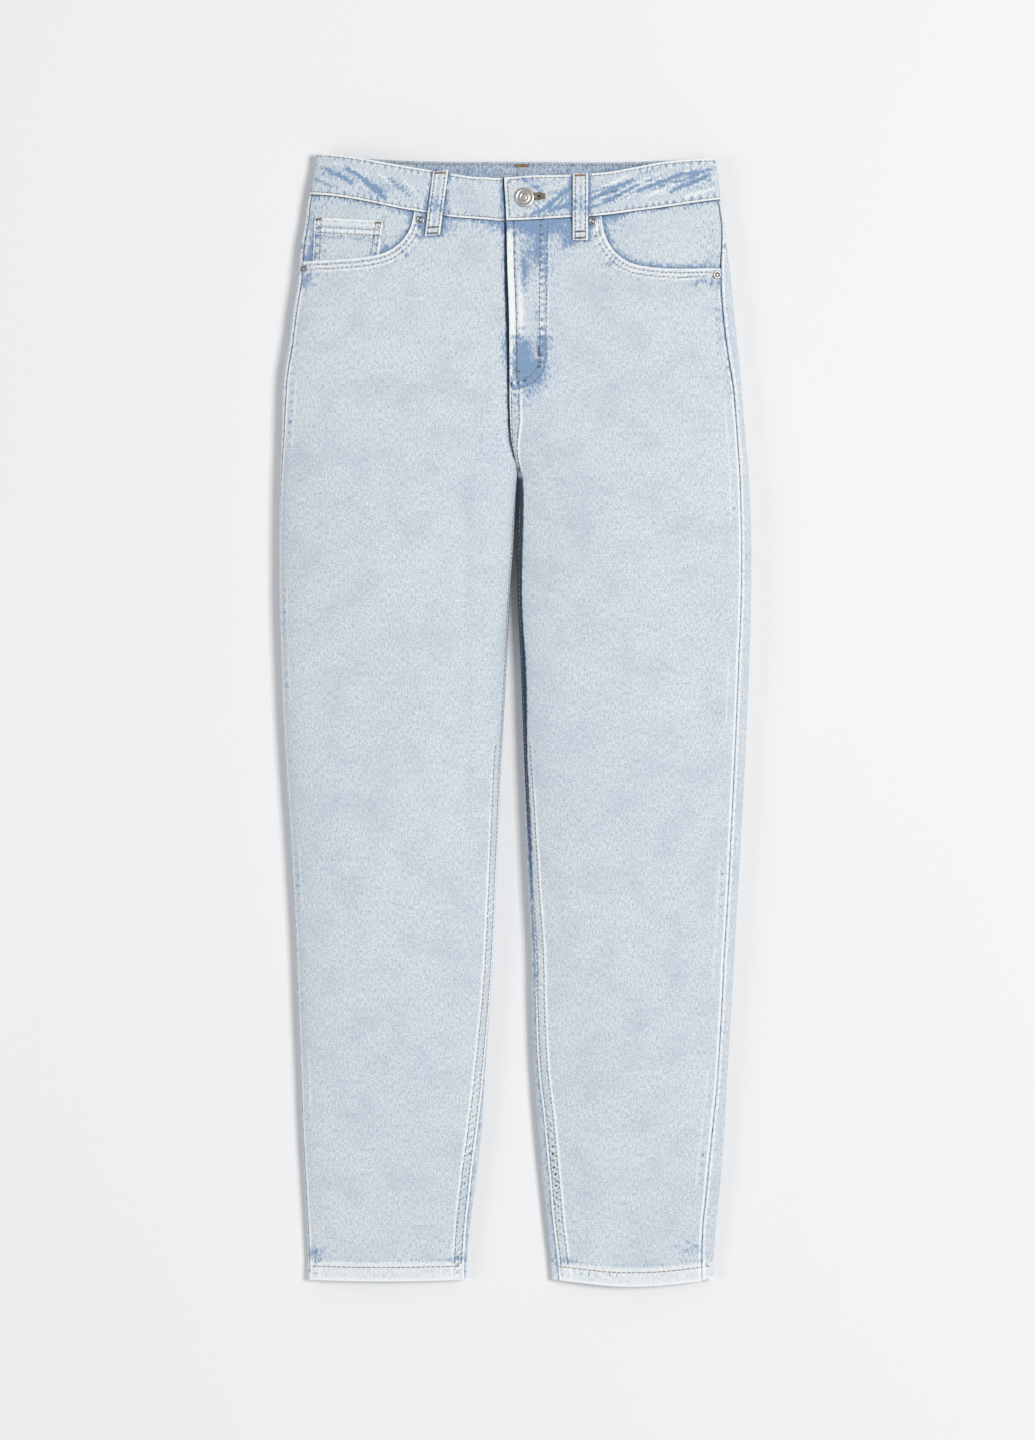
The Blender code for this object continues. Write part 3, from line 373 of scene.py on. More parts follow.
def run_at(side, y, x):
    """Running length of the upper side at x."""
    y, x = np.broadcast_arrays(np.asarray(y, float), np.asarray(x, float))
    outer, inner = edges(side, y)
    u = np.clip((x - inner) / (outer - inner), 0.0, 1.0)
    a = pick(FORM[side]["inverse"], row_of(y), np.arccos(2.0 * u - 1.0) / math.pi * (TOP_COUNT - 1))
    return a + np.maximum(0.0, (inner - x) * side)


def seam_from_table(side, which):
    """Running length of a seam on each cross-section."""
    outer, inner = edges(side, ROWS)
    tag = "_r" if side < 0 else "_l"
    inset = blend(SEAMS, SEAM[which + tag], ROWS)
    if which == "out":
        return run_at(side, ROWS, outer - side * inset)
    return np.where(inset > 0, run_at(side, ROWS, inner + side * inset), FORM[side]["end"])


SEAM_RUN = {(side, which): seam_from_table(side, which) for side in (-1, 1) for which in ("out", "in")}


def seam_run(side, y, which):
    return np.interp(y, ROWS, SEAM_RUN[side, which])


# %% [markdown]
# ## Slack in the cloth
# Denim never lies like card. Between the big folds the upper side rises and falls by a fraction of a
# millimetre over a hand's breadth, and a few longer creases run from the fly, the knees and the seat. They
# are listed one by one, all of different length and depth. The hidden side gets its own set: where the cloth
# lies on the table a crease can only lift off it, so those rise into the garment.

# %% Creases of both sides
TOP_CREASES = [
    (-46.0, 214.0, -43.0, -110.0, 6.5, -2.2), (-33.0, 205.0, -33.0, -70.0, 7.0, 0.9),
    (-30.0, 268.0, -112.0, 196.0, 9.0, -0.8), (36.0, 262.0, 128.0, 180.0, 10.0, -0.9),
    (-26.0, 236.0, -70.0, 150.0, 8.0, -0.7), (24.0, 226.0, 62.0, 120.0, 8.0, -0.8),
    (-150.0, 300.0, -190.0, 240.0, 9.0, -0.7), (150.0, 330.0, 186.0, 262.0, 8.0, -0.9),
    (-172.0, 120.0, -120.0, 96.0, 11.0, -0.6), (188.0, 60.0, 142.0, 30.0, 12.0, -0.6),
    (-40.0, -16.0, -104.0, -34.0, 9.0, -0.7), (-178.0, -88.0, -120.0, -74.0, 10.0, -0.7),
    (26.0, -70.0, 92.0, -92.0, 9.0, -0.7), (182.0, -104.0, 120.0, -118.0, 11.0, -0.6),
    (-52.0, -210.0, -84.0, -262.0, 8.0, -0.5), (150.0, -250.0, 168.0, -330.0, 8.0, -0.6),
    (-160.0, -330.0, -150.0, -410.0, 8.0, -0.5), (52.0, -360.0, 60.0, -430.0, 8.0, -0.5),
    (-112.0, 20.0, -96.0, -160.0, 24.0, 0.6), (104.0, 10.0, 98.0, -170.0, 26.0, 0.6),
    (-150.0, 340.0, -110.0, 300.0, 14.0, 0.5), (110.0, 350.0, 60.0, 322.0, 16.0, 0.5),
]
BACK_CREASES = [
    (-20.0, 206.0, -96.0, 176.0, 9.0, 2.2), (-36.0, 178.0, -150.0, 150.0, 11.0, 1.6),
    (22.0, 204.0, 104.0, 168.0, 10.0, 2.4), (44.0, 172.0, 168.0, 158.0, 8.0, 1.4),
    (-30.0, 120.0, -88.0, 92.0, 9.0, 1.2), (34.0, 110.0, 76.0, 96.0, 7.0, 1.3),
    (-180.0, -16.0, -96.0, -34.0, 9.0, 1.7), (-34.0, -52.0, -120.0, -62.0, 8.0, 1.5),
    (-170.0, -92.0, -110.0, -80.0, 10.0, 1.1), (30.0, -24.0, 96.0, -40.0, 8.0, 1.6),
    (180.0, -48.0, 84.0, -70.0, 10.0, 1.9), (40.0, -104.0, 110.0, -96.0, 9.0, 1.1),
    (-120.0, -250.0, -96.0, -350.0, 12.0, 0.9), (110.0, -280.0, 120.0, -380.0, 12.0, 0.9),
    (-18.0, 340.0, -26.0, 270.0, 9.0, 1.0), (24.0, 352.0, 30.0, 262.0, 9.0, 1.1),
]


def slack(side, y, a, x):
    """How far the cloth stands off its plain form, outward."""
    waves = 0.0
    for turn, length, start, high in ((0.3, 96.0, 0.4, 0.30), (1.5, 132.0, 1.9, 0.34), (2.5, 74.0, 3.1, 0.20),
                                      (0.9, 51.0, 5.2, 0.13), (1.9, 38.0, 0.8, 0.09)):
        waves = waves + high * np.sin((x * math.cos(turn) + y * math.sin(turn)) * 2 * math.pi / length + start)
    to_inner = np.where(y <= CROTCH_Y, top_end(side, y) - a, 99.0)
    over = step(a, 6.0, 34.0) * step(to_inner, 6.0, 34.0)
    below = step(-a, 12.0, 30.0) * step(under_end(side, y) * -1.0 + a, 12.0, 30.0)
    return over * (waves + folds(x, y, TOP_CREASES)) - below * folds(x, y, BACK_CREASES)


def lay(side, y, a, depth=0.0, detail=None):
    """Points of a layer lying depth below the garment's outer side, and their outward directions."""
    x, z = spot(side, y, a)
    normal = outward(side, y, a)
    lift = slack(side, y, a, x) - depth
    if detail is not None:
        lift = lift + detail(side, y, a, x)[0]
    y = np.broadcast_to(y, x.shape)
    return np.stack([x, y, z], -1) + normal * np.asarray(lift)[..., None], normal


# %% [markdown]
# ## Puckers
# A seam is sewn tight and then washed: the thread shrinks, the layers ride up between the stitches and stand
# in small ridges, a little different each time. A sine wave would look machined, so the wave here speeds up
# and slows down and changes its height as it goes.

# %% An uneven wave for puckers
def ripple(s, pitch, start):
    """Uneven wave between -1 and 1 along a seam."""
    drift = 1.9 * np.sin(s / (3.1 * pitch) + start) + 0.8 * np.sin(s / (1.3 * pitch) + 2.7 * start)
    return np.sin(2 * math.pi * s / pitch + drift + start) * (0.68 + 0.32 * np.sin(s / (4.3 * pitch) + 2 * start))


def nearest_on(line, x, y):
    """Distance to a line of points in plan, and how far along it the nearest place is."""
    line = np.asarray(line, float)
    best = np.full(np.shape(x), 1e9)
    along = np.zeros(np.shape(x))
    passed = 0.0
    for (x0, y0), (x1, y1) in zip(line, line[1:]):
        dx, dy = x1 - x0, y1 - y0
        length = math.hypot(dx, dy)
        t = np.clip(((x - x0) * dx + (y - y0) * dy) / length ** 2, 0.0, 1.0)
        away = np.hypot(x - x0 - dx * t, y - y0 - dy * t)
        closer = away < best
        best = np.where(closer, away, best)
        along = np.where(closer, passed + t * length, along)
        passed += length
    return best, along


def round_curve(points, times):
    """Corner cutting, so that a short outline reads as a curve."""
    for _ in range(times):
        fresh = [points[0]]
        for p, q in zip(points, points[1:]):
            fresh.append((0.75 * p[0] + 0.25 * q[0], 0.75 * p[1] + 0.25 * q[1]))
            fresh.append((0.25 * p[0] + 0.75 * q[0], 0.25 * p[1] + 0.75 * q[1]))
        fresh.append(points[-1])
        points = fresh
    return points


MOUTHS = {-1: round_curve(MOUTH_RIGHT, 2), 1: round_curve(MOUTH_LEFT, 2)}

# %% [markdown]
# ## What the sewing, the wash and painted shade do to a panel
# Each detail function answers four questions for every place of a piece: how far the cloth stands up there,
# how much the stone wash has faded it, how much indigo is left, and where it is drawn dark, partly for indigo
# kept in tight creases and partly as painted shade in gaps, grooves and beside overlapping edges.
# Raised edges rub in the drum and turn nearly white; the hollows between puckers keep their blue. That
# pairing is what makes denim look like denim.

# %% Details of the front panels
# y and x of the outer row of the fly's curved stitching
FLY_ROW = np.array([(284.6, -4.6), (285.8, 4.0), (287.8, 9.5), (291.5, 16.5), (297.4, 22.5), (304.0, 25.6),
                    (312.1, 27.0), (330.0, 27.0), (403.2, 27.7), (434.0, 28.2)])
# places that kept more indigo: x, y, half width, half height, strength
BLUE_PLACES = [
    (22.0, 427.0, 30.0, 8.0, 0.85), (15.0, 404.0, 14.0, 22.0, 0.5), (46.0, 414.0, 8.0, 9.0, 0.6),
    (67.0, 436.0, 6.0, 8.0, 0.45), (4.0, 317.0, 8.0, 18.0, 0.75), (24.0, 324.0, 10.0, 12.0, 0.6),
    (15.0, 299.0, 16.0, 15.0, 0.8), (10.0, 276.0, 10.0, 10.0, 0.3), (-10.0, 322.0, 5.0, 16.0, 0.4), (-10.0, 400.0, 4.0, 26.0, 0.25),
    (-76.0, 426.0, 10.0, 10.0, 0.5), (-56.0, 426.0, 8.0, 9.0, 0.4), (-181.0, 380.0, 8.0, 9.0, 0.6),
    (-195.0, 335.0, 7.0, 34.0, 0.38), (181.0, 350.0, 8.0, 36.0, 0.42), (188.0, 298.0, 6.0, 26.0, 0.36),
    (166.0, 378.0, 14.0, 6.0, 0.35), (82.0, 394.0, 8.0, 7.0, 0.3), (-96.0, 404.0, 9.0, 7.0, 0.25),
    (-14.0, 232.0, 10.0, 30.0, 0.16), (-20.0, 426.0, 20.0, 6.0, 0.3), (30.0, 388.0, 12.0, 30.0, 0.2),
    (-172.0, -462.0, 9.0, 7.0, 0.5), (-50.0, -466.0, 8.0, 5.0, 0.4), (152.0, -458.0, 16.0, 7.0, 0.42),
    (48.0, -470.0, 12.0, 6.0, 0.3), (170.0, 40.0, 10.0, 120.0, 0.1),
]


def hem_sag(side, x):
    """The left leg's front hem hangs a little lower in the middle."""
    outer, inner = edges(side, np.float64(HEM_Y))
    u = np.clip((x - inner) / (outer - inner), 0.0, 1.0)
    return (5.6 if side > 0 else 0.9) * np.sin(math.pi * u) ** 1.3


def patches(x, y, table):
    total = 0.0
    for x0, y0, wide, high, strength in table:
        total = total + strength * np.exp(-((x - x0) / wide) ** 2 - ((y - y0) / high) ** 2)
    return total


def hem_detail(from_hem, x, start):
    """Roping of the turned-up hem: slanting ridges from the stitch row down to the edge."""
    mood = 0.55 + 0.45 * np.sin(x / 13.7 + 1.3 * start) * np.sin(x / 5.9 + start)
    rope = ripple(x + 0.45 * from_hem, 6.6, start) * mood
    band = 1.0 - step(from_hem, 11.8, 13.6)
    height = 0.6 * band + 0.42 * rope * bell(from_hem, 7.5, 6.5) - 0.5 * bell(from_hem, 12.2, 0.8)
    fade = 0.5 * bell(from_hem, 0.4, 1.6) + 0.45 * band + 0.8 * bell(from_hem, 14.9, 1.5)
    deep = 0.62 * step(-rope, 0.1, 0.8) * bell(from_hem, 8.4, 3.2) + 0.22 * bell(from_hem, 17.6, 2.0)
    # dark in the roping's troughs and in the groove at the stitch row: partly kept indigo, partly painted shade
    dark = 0.3 * bell(from_hem, 12.5, 0.6) + 0.3 * step(-rope, 0.35, 0.9) * bell(from_hem, 9.8, 1.6)
    return height, fade, deep, dark


def loop_shadow(x, y, reach):
    """Nearness to the side of a front belt loop; 1 right beside it."""
    total = 0.0
    for top_x, low_x, low_y in FRONT_LOOPS.values():
        top_y = float(blend(BAND_FRONT, 2, top_x))
        t = (y - low_y) / (top_y - low_y)
        beside_it = np.abs(x - (low_x + (top_x - low_x) * t)) - LOOP_WIDTH / 2
        total = total + bell(np.maximum(beside_it, 0.0), 0.0, reach) * step(y, low_y - reach, low_y)
    return total


def front_detail(side, y, a, x):
    """Height in mm, fading, kept indigo and dark lines of a front panel; the dark lines are partly indigo kept in tight
    creases and partly painted shade.
    """
    inner = edges(side, y)[1]
    from_out = a - seam_run(side, y, "out")
    from_in = np.where(y > CROTCH_Y, (x - inner) * side, seam_run(side, y, "in") - a)
    leg = 1.0 - step(y, 196.0, 226.0)
    # outseam: open seam with a ridge, laddered in places
    out = ripple(y, 8.6, 1.2 + side)
    now_and_then = step(np.sin(y / 31.0 + 0.7 * side) + 0.6 * np.sin(y / 13.0), -0.5, 1.2)
    ridge = bell(from_out, 2.0, 1.0)
    hip = step(y, 150.0, 240.0)
    height = ridge * (0.4 + 0.14 * out) + 0.2 * out * bell(from_out, 6.5, 3.5) - 0.4 * bell(from_out, 0.0, 0.7)
    fade = ridge * (0.9 + 0.2 * out) + 0.5 * bell(from_out, 9.8, 1.0) * step(now_and_then, 0.2, 0.6)
    deep = (0.3 + 0.5 * hip) * bell(from_out, 0.1, 0.8)
    deep = deep + 0.62 * now_and_then * bell(from_out, 6.4, 2.3) * step(-out, 0.2, 0.8)
    # dark line along the outseam's groove, stronger up the hip: painted shade
    dark = (0.12 + 0.6 * hip) * bell(from_out, -0.2, 0.6)
    # inseam: two layers felled to the front, roped hardest above the hem
    mood = 0.5 + 0.5 * np.sin(y / 11.3 + 2.0 * side) * np.sin(y / 4.7 + side)
    rope = ripple(y + 0.7 * from_in, 6.1, 3.1 - side) * (0.5 + 0.5 * mood)
    shown = leg * (1.0 - 0.9 * step(y, -150.0, 30.0))
    hard = shown * (0.16 + 0.84 * bell(y, -400.0 + 18.0 * side, 56.0))
    band = shown * (1.0 - step(from_in, 9.8, 11.4))
    height = height + 0.5 * band + 0.42 * hard * rope * bell(from_in, 5.6, 4.6)
    height = height - 0.28 * shown * (bell(from_in, 2.6, 0.6) + bell(from_in, 8.7, 0.6))
    fade = fade + shown * (1.0 * bell(from_in, 0.9, 0.9) + 0.75 * bell(from_in, 10.4, 1.0))
    fade = fade + 0.6 * band * step(rope, 0.0, 0.7)
    deep = deep + 0.6 * hard * step(-rope, 0.0, 0.6) * bell(from_in, 5.6, 2.6)
    deep = deep + shown * 0.3 * (bell(from_in, 2.6, 0.7) + bell(from_in, 8.7, 0.7))
    deep = deep + 0.4 * shown * bell(y, -400.0, 90.0) * (1.0 - step(from_in, -0.6, 0.4))
    # dark in the roping's troughs and along the two rows: partly indigo kept in the creases, partly painted shade
    dark = dark + 0.85 * hard * step(-rope, 0.1, 0.6) * bell(from_in, 5.6, 1.9)
    dark = dark + shown * (0.12 + 0.2 * hard) * (bell(from_in, 2.5, 0.5) + bell(from_in, 8.9, 0.5))
    if side > 0:
        # painted shade on the left leg's inner wall, in the narrow gap between the legs: bluer and dark
        gap_wall_shade = leg * (1.0 - step(x - inner, 3.4, 5.6 + 1.2 * np.sin(y / 21.0)))
        deep = deep + (0.25 + 0.6 * step(y, -330.0, -120.0)) * gap_wall_shade * step(y, -420.0, -260.0)
        dark = dark + 0.9 * gap_wall_shade * step(y, -300.0, 90.0)
    # hem
    hem = hem_detail(y + hem_sag(side, x) - HEM_Y, x, 2.0 + side)
    height, fade, deep, dark = height + hem[0], fade + hem[1], deep + hem[2], dark + hem[3]
    # waist seam
    from_waist = blend(BAND_FRONT, 1, x) - y
    tight = ripple(x, 8.8, 0.7)
    height = height + 0.34 * tight * bell(from_waist, 0.0, 9.0) - 0.6 * bell(from_waist, 0.0, 1.3)
    deep = deep + bell(from_waist, 0.0, 3.2) * (0.5 + 0.4 * step(-tight, 0.0, 0.9))
    fade = fade + 0.3 * bell(from_waist, 7.0, 4.0) * step(tight, 0.2, 0.9)
    # a thin painted shadow line right under the waistband's lower edge
    dark = dark + 0.6 * bell(from_waist, 0.0, 0.9)
    deep, dark = deep + 0.6 * loop_shadow(x, y, 3.6), dark + 0.55 * loop_shadow(x, y, 0.9)
    # pocket mouth: faced edge with two rows
    mouth, along = nearest_on(MOUTHS[side], x, y)
    tuck = ripple(along, 7.1, 1.1)
    height = height + 0.45 * (1.0 - step(mouth, 8.4, 10.2)) + 0.28 * tuck * bell(mouth, 5.4, 4.0)
    height = height - 0.28 * (bell(mouth, 3.3, 0.6) + bell(mouth, 7.4, 0.6)) - 0.3 * bell(mouth, 0.0, 0.6)
    fade = fade + 1.0 * bell(mouth, 0.8, 1.0) + 0.7 * bell(mouth, 5.4, 1.1) + 0.7 * bell(mouth, 9.2, 0.8)
    deep = deep + 0.6 * bell(mouth, 11.6, 1.8) * step(-tuck, -0.3, 0.9)
    deep = deep + 0.6 * (bell(mouth, 3.3, 0.8) + bell(mouth, 7.4, 0.8)) * step(-tuck, -0.5, 0.6)
    # dark along the two rows where the cloth tucks in: partly kept indigo, partly painted shade
    dark = dark + 0.22 * (bell(mouth, 3.3, 0.6) + bell(mouth, 7.4, 0.6)) * step(-tuck, 0.0, 0.8)
    # seam from the fly down to the crotch
    crotch = step(y, 206.0, 220.0) * (1.0 - step(y, 284.0, 294.0))
    curl = ripple(y, 6.3, 1.7)
    wide = 0.35 + 0.65 * step(y, 222.0, 262.0)
    lower = 1.0 if side > 0 else 0.35
    height = height + crotch * lower * (0.5 * (1.0 - step(from_in, 9.5 * wide, 11.5 * wide))
                                        + 0.34 * curl * bell(from_in, 4.5 * wide, 4.0 * wide))
    fade = fade + crotch * lower * 0.9 * (bell(from_in, 1.0, 0.9) + bell(from_in, 10.0 * wide, 1.0))
    if side > 0:
        deep = deep + crotch * 0.5 * step(-curl, 0.0, 0.7) * bell(from_in, 4.8 * wide, 2.6 * wide)
        # dark along the crotch seam's two rows: partly kept indigo, partly painted shade
        dark = dark + crotch * 0.4 * (bell(from_in, 1.7, 0.5) + bell(from_in, 8.2 * wide, 0.5))
    # fly
    upper = step(y, 284.0, 292.0)
    fold = ripple(y, 7.8, 4.0)
    if side > 0:
        inside = np.interp(y, FLY_ROW[:, 0], FLY_ROW[:, 1]) - x > 0
        away, run = nearest_on(FLY_ROW[:, ::-1], x, y)
        within = np.where(inside & (y > 284.6), away, -away)
        curl = ripple(run, 6.6, 0.5)
        height = height + 0.45 * step(within, -3.0, 0.5) + 0.42 * curl * bell(within, 3.6, 3.6)
        height = height - 0.25 * (bell(within, 0.0, 0.6) + bell(within, 6.6, 0.6))
        fade = fade + 0.9 * bell(within, 3.8, 2.4) * step(curl, -0.2, 0.6) + 0.5 * bell(within, -1.4, 1.0)
        deep = deep + 0.75 * bell(within, 4.4, 2.6) * step(-curl, 0.0, 0.6)
        deep = deep + 0.3 * bell(within, 1.0, 1.4) + 0.35 * bell(within, 8.6, 2.0) * step(np.sin(y / 9.0), -0.3, 0.9)
        # dark in the troughs beside the fly's curved row: partly kept indigo, partly painted shade
        dark = dark + 0.7 * bell(within, 5.0, 1.6) * step(-curl, 0.25, 0.75)
        height = height + upper * (1.0 * bell(from_in, 1.2, 2.6) + 0.2 * fold * bell(from_in, 4.6, 3.0))
        height = height - upper * 0.3 * bell(from_in, 6.3, 0.6)
        white = (1.0 - step(from_in, 5.0, 6.0)) + 0.8 * bell(from_in, 10.4, 2.6) * bell(y, 350.0, 44.0)
        fade = fade + upper * white
        deep = deep + upper * (0.5 * bell(from_in, 7.2, 1.6) * step(-fold, -0.5, 0.8)
                               + 0.55 * bell(from_in, 14.6, 3.0) * step(np.sin(y / 12.0 + 1.0), -0.6, 0.9))
        # dark in the groove of the fly's row, and a painted shadow line along the fold's edge
        dark = dark + upper * (0.5 * bell(from_in, 6.4, 0.6) + 0.4 * bell(from_in, -0.2, 0.5))
    else:
        # painted shade on the right front where it runs under the left front's fold and down the crotch seam: bluer,
        # with a dark line at the edge
        fly_and_crotch_edge_shade = step(y, 214.0, 240.0)
        deep = deep + 0.6 * fly_and_crotch_edge_shade * bell(from_in, 0.0, 3.2)
        dark = dark + fly_and_crotch_edge_shade * 1.3 * bell(from_in, 0.3, 1.3 + 1.3 * bell(y, 358.0, 40.0))
        height = height + 0.2 * upper * fold * bell(from_in, 8.0, 5.0) - 1.1 * upper * (1.0 - step(from_in, 0.0, 6.0))
    deep = deep + patches(x, y, BLUE_PLACES)
    return height, fade, deep, dark


# %% Details of the hidden back
SEAT_WEAR = [(-96.0, 200.0, 60.0, 40.0, 1.0), (100.0, 200.0, 60.0, 40.0, 1.0)]


def back_detail(side, y, a, x):
    """Back panel: outseam, felled seat seam, yoke seam and hem."""
    from_out = seam_run(side, y, "out") - a
    start, end = under_end(side, y), top_end(side, y)
    from_in = np.where(y <= CROTCH_Y, a - start + end - seam_run(side, y, "in"), 99.0)
    out = ripple(y, 7.6, 1.2 + side)
    ridge = bell(from_out, 1.8, 1.2)
    height = ridge * (0.3 + 0.16 * out) + 0.18 * out * bell(from_out, 5.0, 3.5) - 0.4 * bell(from_out, 0.0, 0.7)
    fade = ridge * (0.65 + 0.25 * out)
    deep = 0.4 * bell(from_out, 0.1, 0.6) + 0.35 * bell(from_out, 4.6, 2.4) * step(-out, 0.1, 0.9)
    rope = ripple(y, 6.9, 3.1 - side)
    height = height + 0.15 * rope * bell(from_in, 3.0, 4.0)
    deep = deep + 0.5 * bell(from_in, 0.0, 3.0) + 0.3 * bell(from_in, 5.0, 3.0) * step(-rope, 0.0, 0.8)
    hem = hem_detail(y - HEM_Y, x, 0.6 + side)
    height, fade, deep = height + 0.4 * hem[0], fade + hem[1], deep + hem[2]
    seat = step(y, 216.0, 226.0)
    from_seat = np.abs(x - CENTRE_BACK_X)
    curl = ripple(y, 7.3, 2.2)
    lower = 1.0 if side > 0 else 0.3
    felled = 0.2 * (1.0 - step(from_seat, 9.6, 11.2)) + 0.16 * curl * bell(from_seat, 5.5, 4.0)
    height = height + seat * lower * felled
    fade = fade + seat * lower * (0.5 * bell(from_seat, 0.8, 1.1) + 0.4 * bell(from_seat, 10.0, 1.2))
    deep = deep + seat * lower * 0.7 * bell(from_seat, 5.5, 3.4) * step(-curl, 0.0, 0.8)
    from_yoke = blend(BAND_BACK, 3, x) - y
    under = a < 0
    deep = deep + np.where(under, 0.45 * bell(from_yoke, 0.0, 2.6), 0.0)
    fade = fade + np.where(under, 0.3 * patches(x, y, SEAT_WEAR), 0.0)
    # painted shade on the back near the inseam, where it shows in the gap between the legs: bluer and dark
    gap_wall_shade = (1.0 - step(y, 196.0, 226.0)) * step(y, 20.0, 120.0) * (1.0 - step(from_in, 12.0, 20.0))
    # dark: painted shade in the outseam's groove and on the gap wall, with the hem's dark lines
    dark = 0.35 * bell(from_out, 0.0, 0.45) + hem[3] + 0.5 * gap_wall_shade
    return height, fade, deep + 0.5 * gap_wall_shade, dark


def yoke_detail(side, y, a, x):
    """The yoke laps over the back panel and is sewn down with two rows."""
    from_out = seam_run(side, y, "out") - a
    from_yoke = y - blend(BAND_BACK, 3, x)
    from_waist = blend(BAND_BACK, 1, x) - y
    out = ripple(y, 7.6, 1.2 + side)
    curl = ripple(x, 7.7, 0.9 + side)
    height = bell(from_out, 1.8, 1.2) * (0.3 + 0.16 * out) - 0.4 * bell(from_out, 0.0, 0.7)
    height = height + 0.2 * curl * bell(from_yoke, 5.4, 4.0) + 0.2 * curl * bell(from_waist, 0.0, 6.0)
    fade = 0.6 * bell(from_yoke, 0.7, 1.2) + 0.4 * bell(from_yoke, 10.0, 1.2) + 0.65 * bell(from_out, 1.8, 1.2)
    deep = 0.65 * bell(from_yoke, 5.4, 3.2) * step(-curl, 0.0, 0.8) + 0.45 * bell(from_waist, 0.0, 4.0)
    # dark: painted shade in the outseam's groove and a painted shadow line under the waistband's lower edge
    dark = 0.35 * bell(from_out, 0.0, 0.45) + 0.3 * bell(from_waist, 0.0, 0.8)
    return height, fade, deep, dark


# %% Details of the waistband
# creases pressed into the front of the waistband: ends, half width and rise; hollows kept their indigo
BAND_CREASES = [
    (-166.0, 478.0, -141.0, 465.0, 1.4, -0.8), (-146.0, 478.0, -116.0, 457.0, 1.6, -0.9),
    (-129.0, 463.0, -112.0, 451.0, 1.3, -0.7), (-108.0, 467.0, -91.0, 453.0, 1.3, -0.8),
    (-172.0, 468.0, -158.0, 461.0, 1.2, -0.6), (-156.0, 482.0, -128.0, 472.0, 1.2, 0.6),
    (-136.0, 464.0, -120.0, 454.0, 1.2, 0.5), (-118.0, 472.0, -100.0, 458.0, 1.3, 0.6),
    (-96.0, 466.0, -82.0, 452.0, 1.3, 0.5), (-84.0, 458.0, -76.0, 446.0, 1.2, -0.7),
    (-50.0, 464.0, -42.0, 442.0, 1.9, -0.35), (-34.0, 462.0, -30.0, 446.0, 1.6, 0.3),
    (6.0, 468.0, 23.0, 457.0, 1.1, -0.6), (14.0, 461.0, 27.0, 462.0, 1.0, -0.6), (14.0, 437.0, 30.0, 444.0, 1.3, -0.8),
    (30.0, 446.0, 49.0, 461.0, 1.4, -0.9), (30.0, 440.0, 49.0, 446.0, 1.2, -0.7), (22.0, 444.0, 34.0, 453.0, 1.1, 0.5),
    (36.0, 462.0, 49.0, 467.0, 1.1, 0.5), (66.0, 450.0, 102.0, 467.0, 1.4, -1.0),
    (66.0, 443.0, 84.0, 449.0, 1.2, -0.7), (80.0, 448.0, 106.0, 463.0, 1.2, -0.7), (70.0, 456.0, 96.0, 470.0, 1.2, 0.6),
    (106.0, 457.0, 144.0, 472.0, 1.4, -0.9), (112.0, 452.0, 138.0, 461.0, 1.2, 0.6), (135.0, 457.0, 165.0, 470.0, 1.3, -0.9),
    (152.0, 472.0, 173.0, 478.0, 1.2, -0.8), (146.0, 452.0, 172.0, 460.0, 1.2, 0.6), (104.0, 470.0, 128.0, 478.0, 1.2, -0.6),
    (156.0, 463.0, 174.0, 470.0, 1.1, 0.5),
]
BAND_BLUE = [(-150.0, 470.0, 26.0, 14.0, 0.3), (-118.0, 458.0, 14.0, 9.0, 0.3), (-100.0, 462.0, 14.0, 10.0, 0.22),
             (-66.0, 446.0, 9.0, 16.0, 0.45), (37.0, 446.0, 14.0, 10.0, 0.42), (42.0, 460.0, 9.0, 8.0, 0.3),
             (57.0, 450.0, 9.0, 20.0, 0.4), (82.0, 456.0, 16.0, 9.0, 0.36), (124.0, 464.0, 22.0, 8.0, 0.3),
             (158.0, 468.0, 20.0, 10.0, 0.42), (20.0, 452.0, 8.0, 8.0, 0.4), (-11.0, 448.0, 3.0, 18.0, 0.4),
             (12.0, 466.0, 12.0, 4.0, 0.3), (18.0, 437.0, 12.0, 5.0, 0.34)]


WHISKER_PLACES = [(-152.0, 469.0, 22.0, 10.0, 0.8), (-118.0, 458.0, 18.0, 10.0, 1.0), (-94.0, 458.0, 10.0, 9.0, 0.7),
                  (-168.0, 466.0, 9.0, 8.0, 0.5), (38.0, 449.0, 13.0, 13.0, 1.0), (20.0, 443.0, 9.0, 8.0, 0.7),
                  (84.0, 455.0, 19.0, 9.0, 1.0), (122.0, 463.0, 22.0, 9.0, 0.8), (158.0, 469.0, 19.0, 9.0, 1.0)]


def band_edges(x, a):
    front = a > 0
    low = np.where(front, blend(BAND_FRONT, 1, x), blend(BAND_BACK, 1, x))
    high = np.where(front, blend(BAND_FRONT, 2, x), blend(BAND_BACK, 2, x))
    return low, high


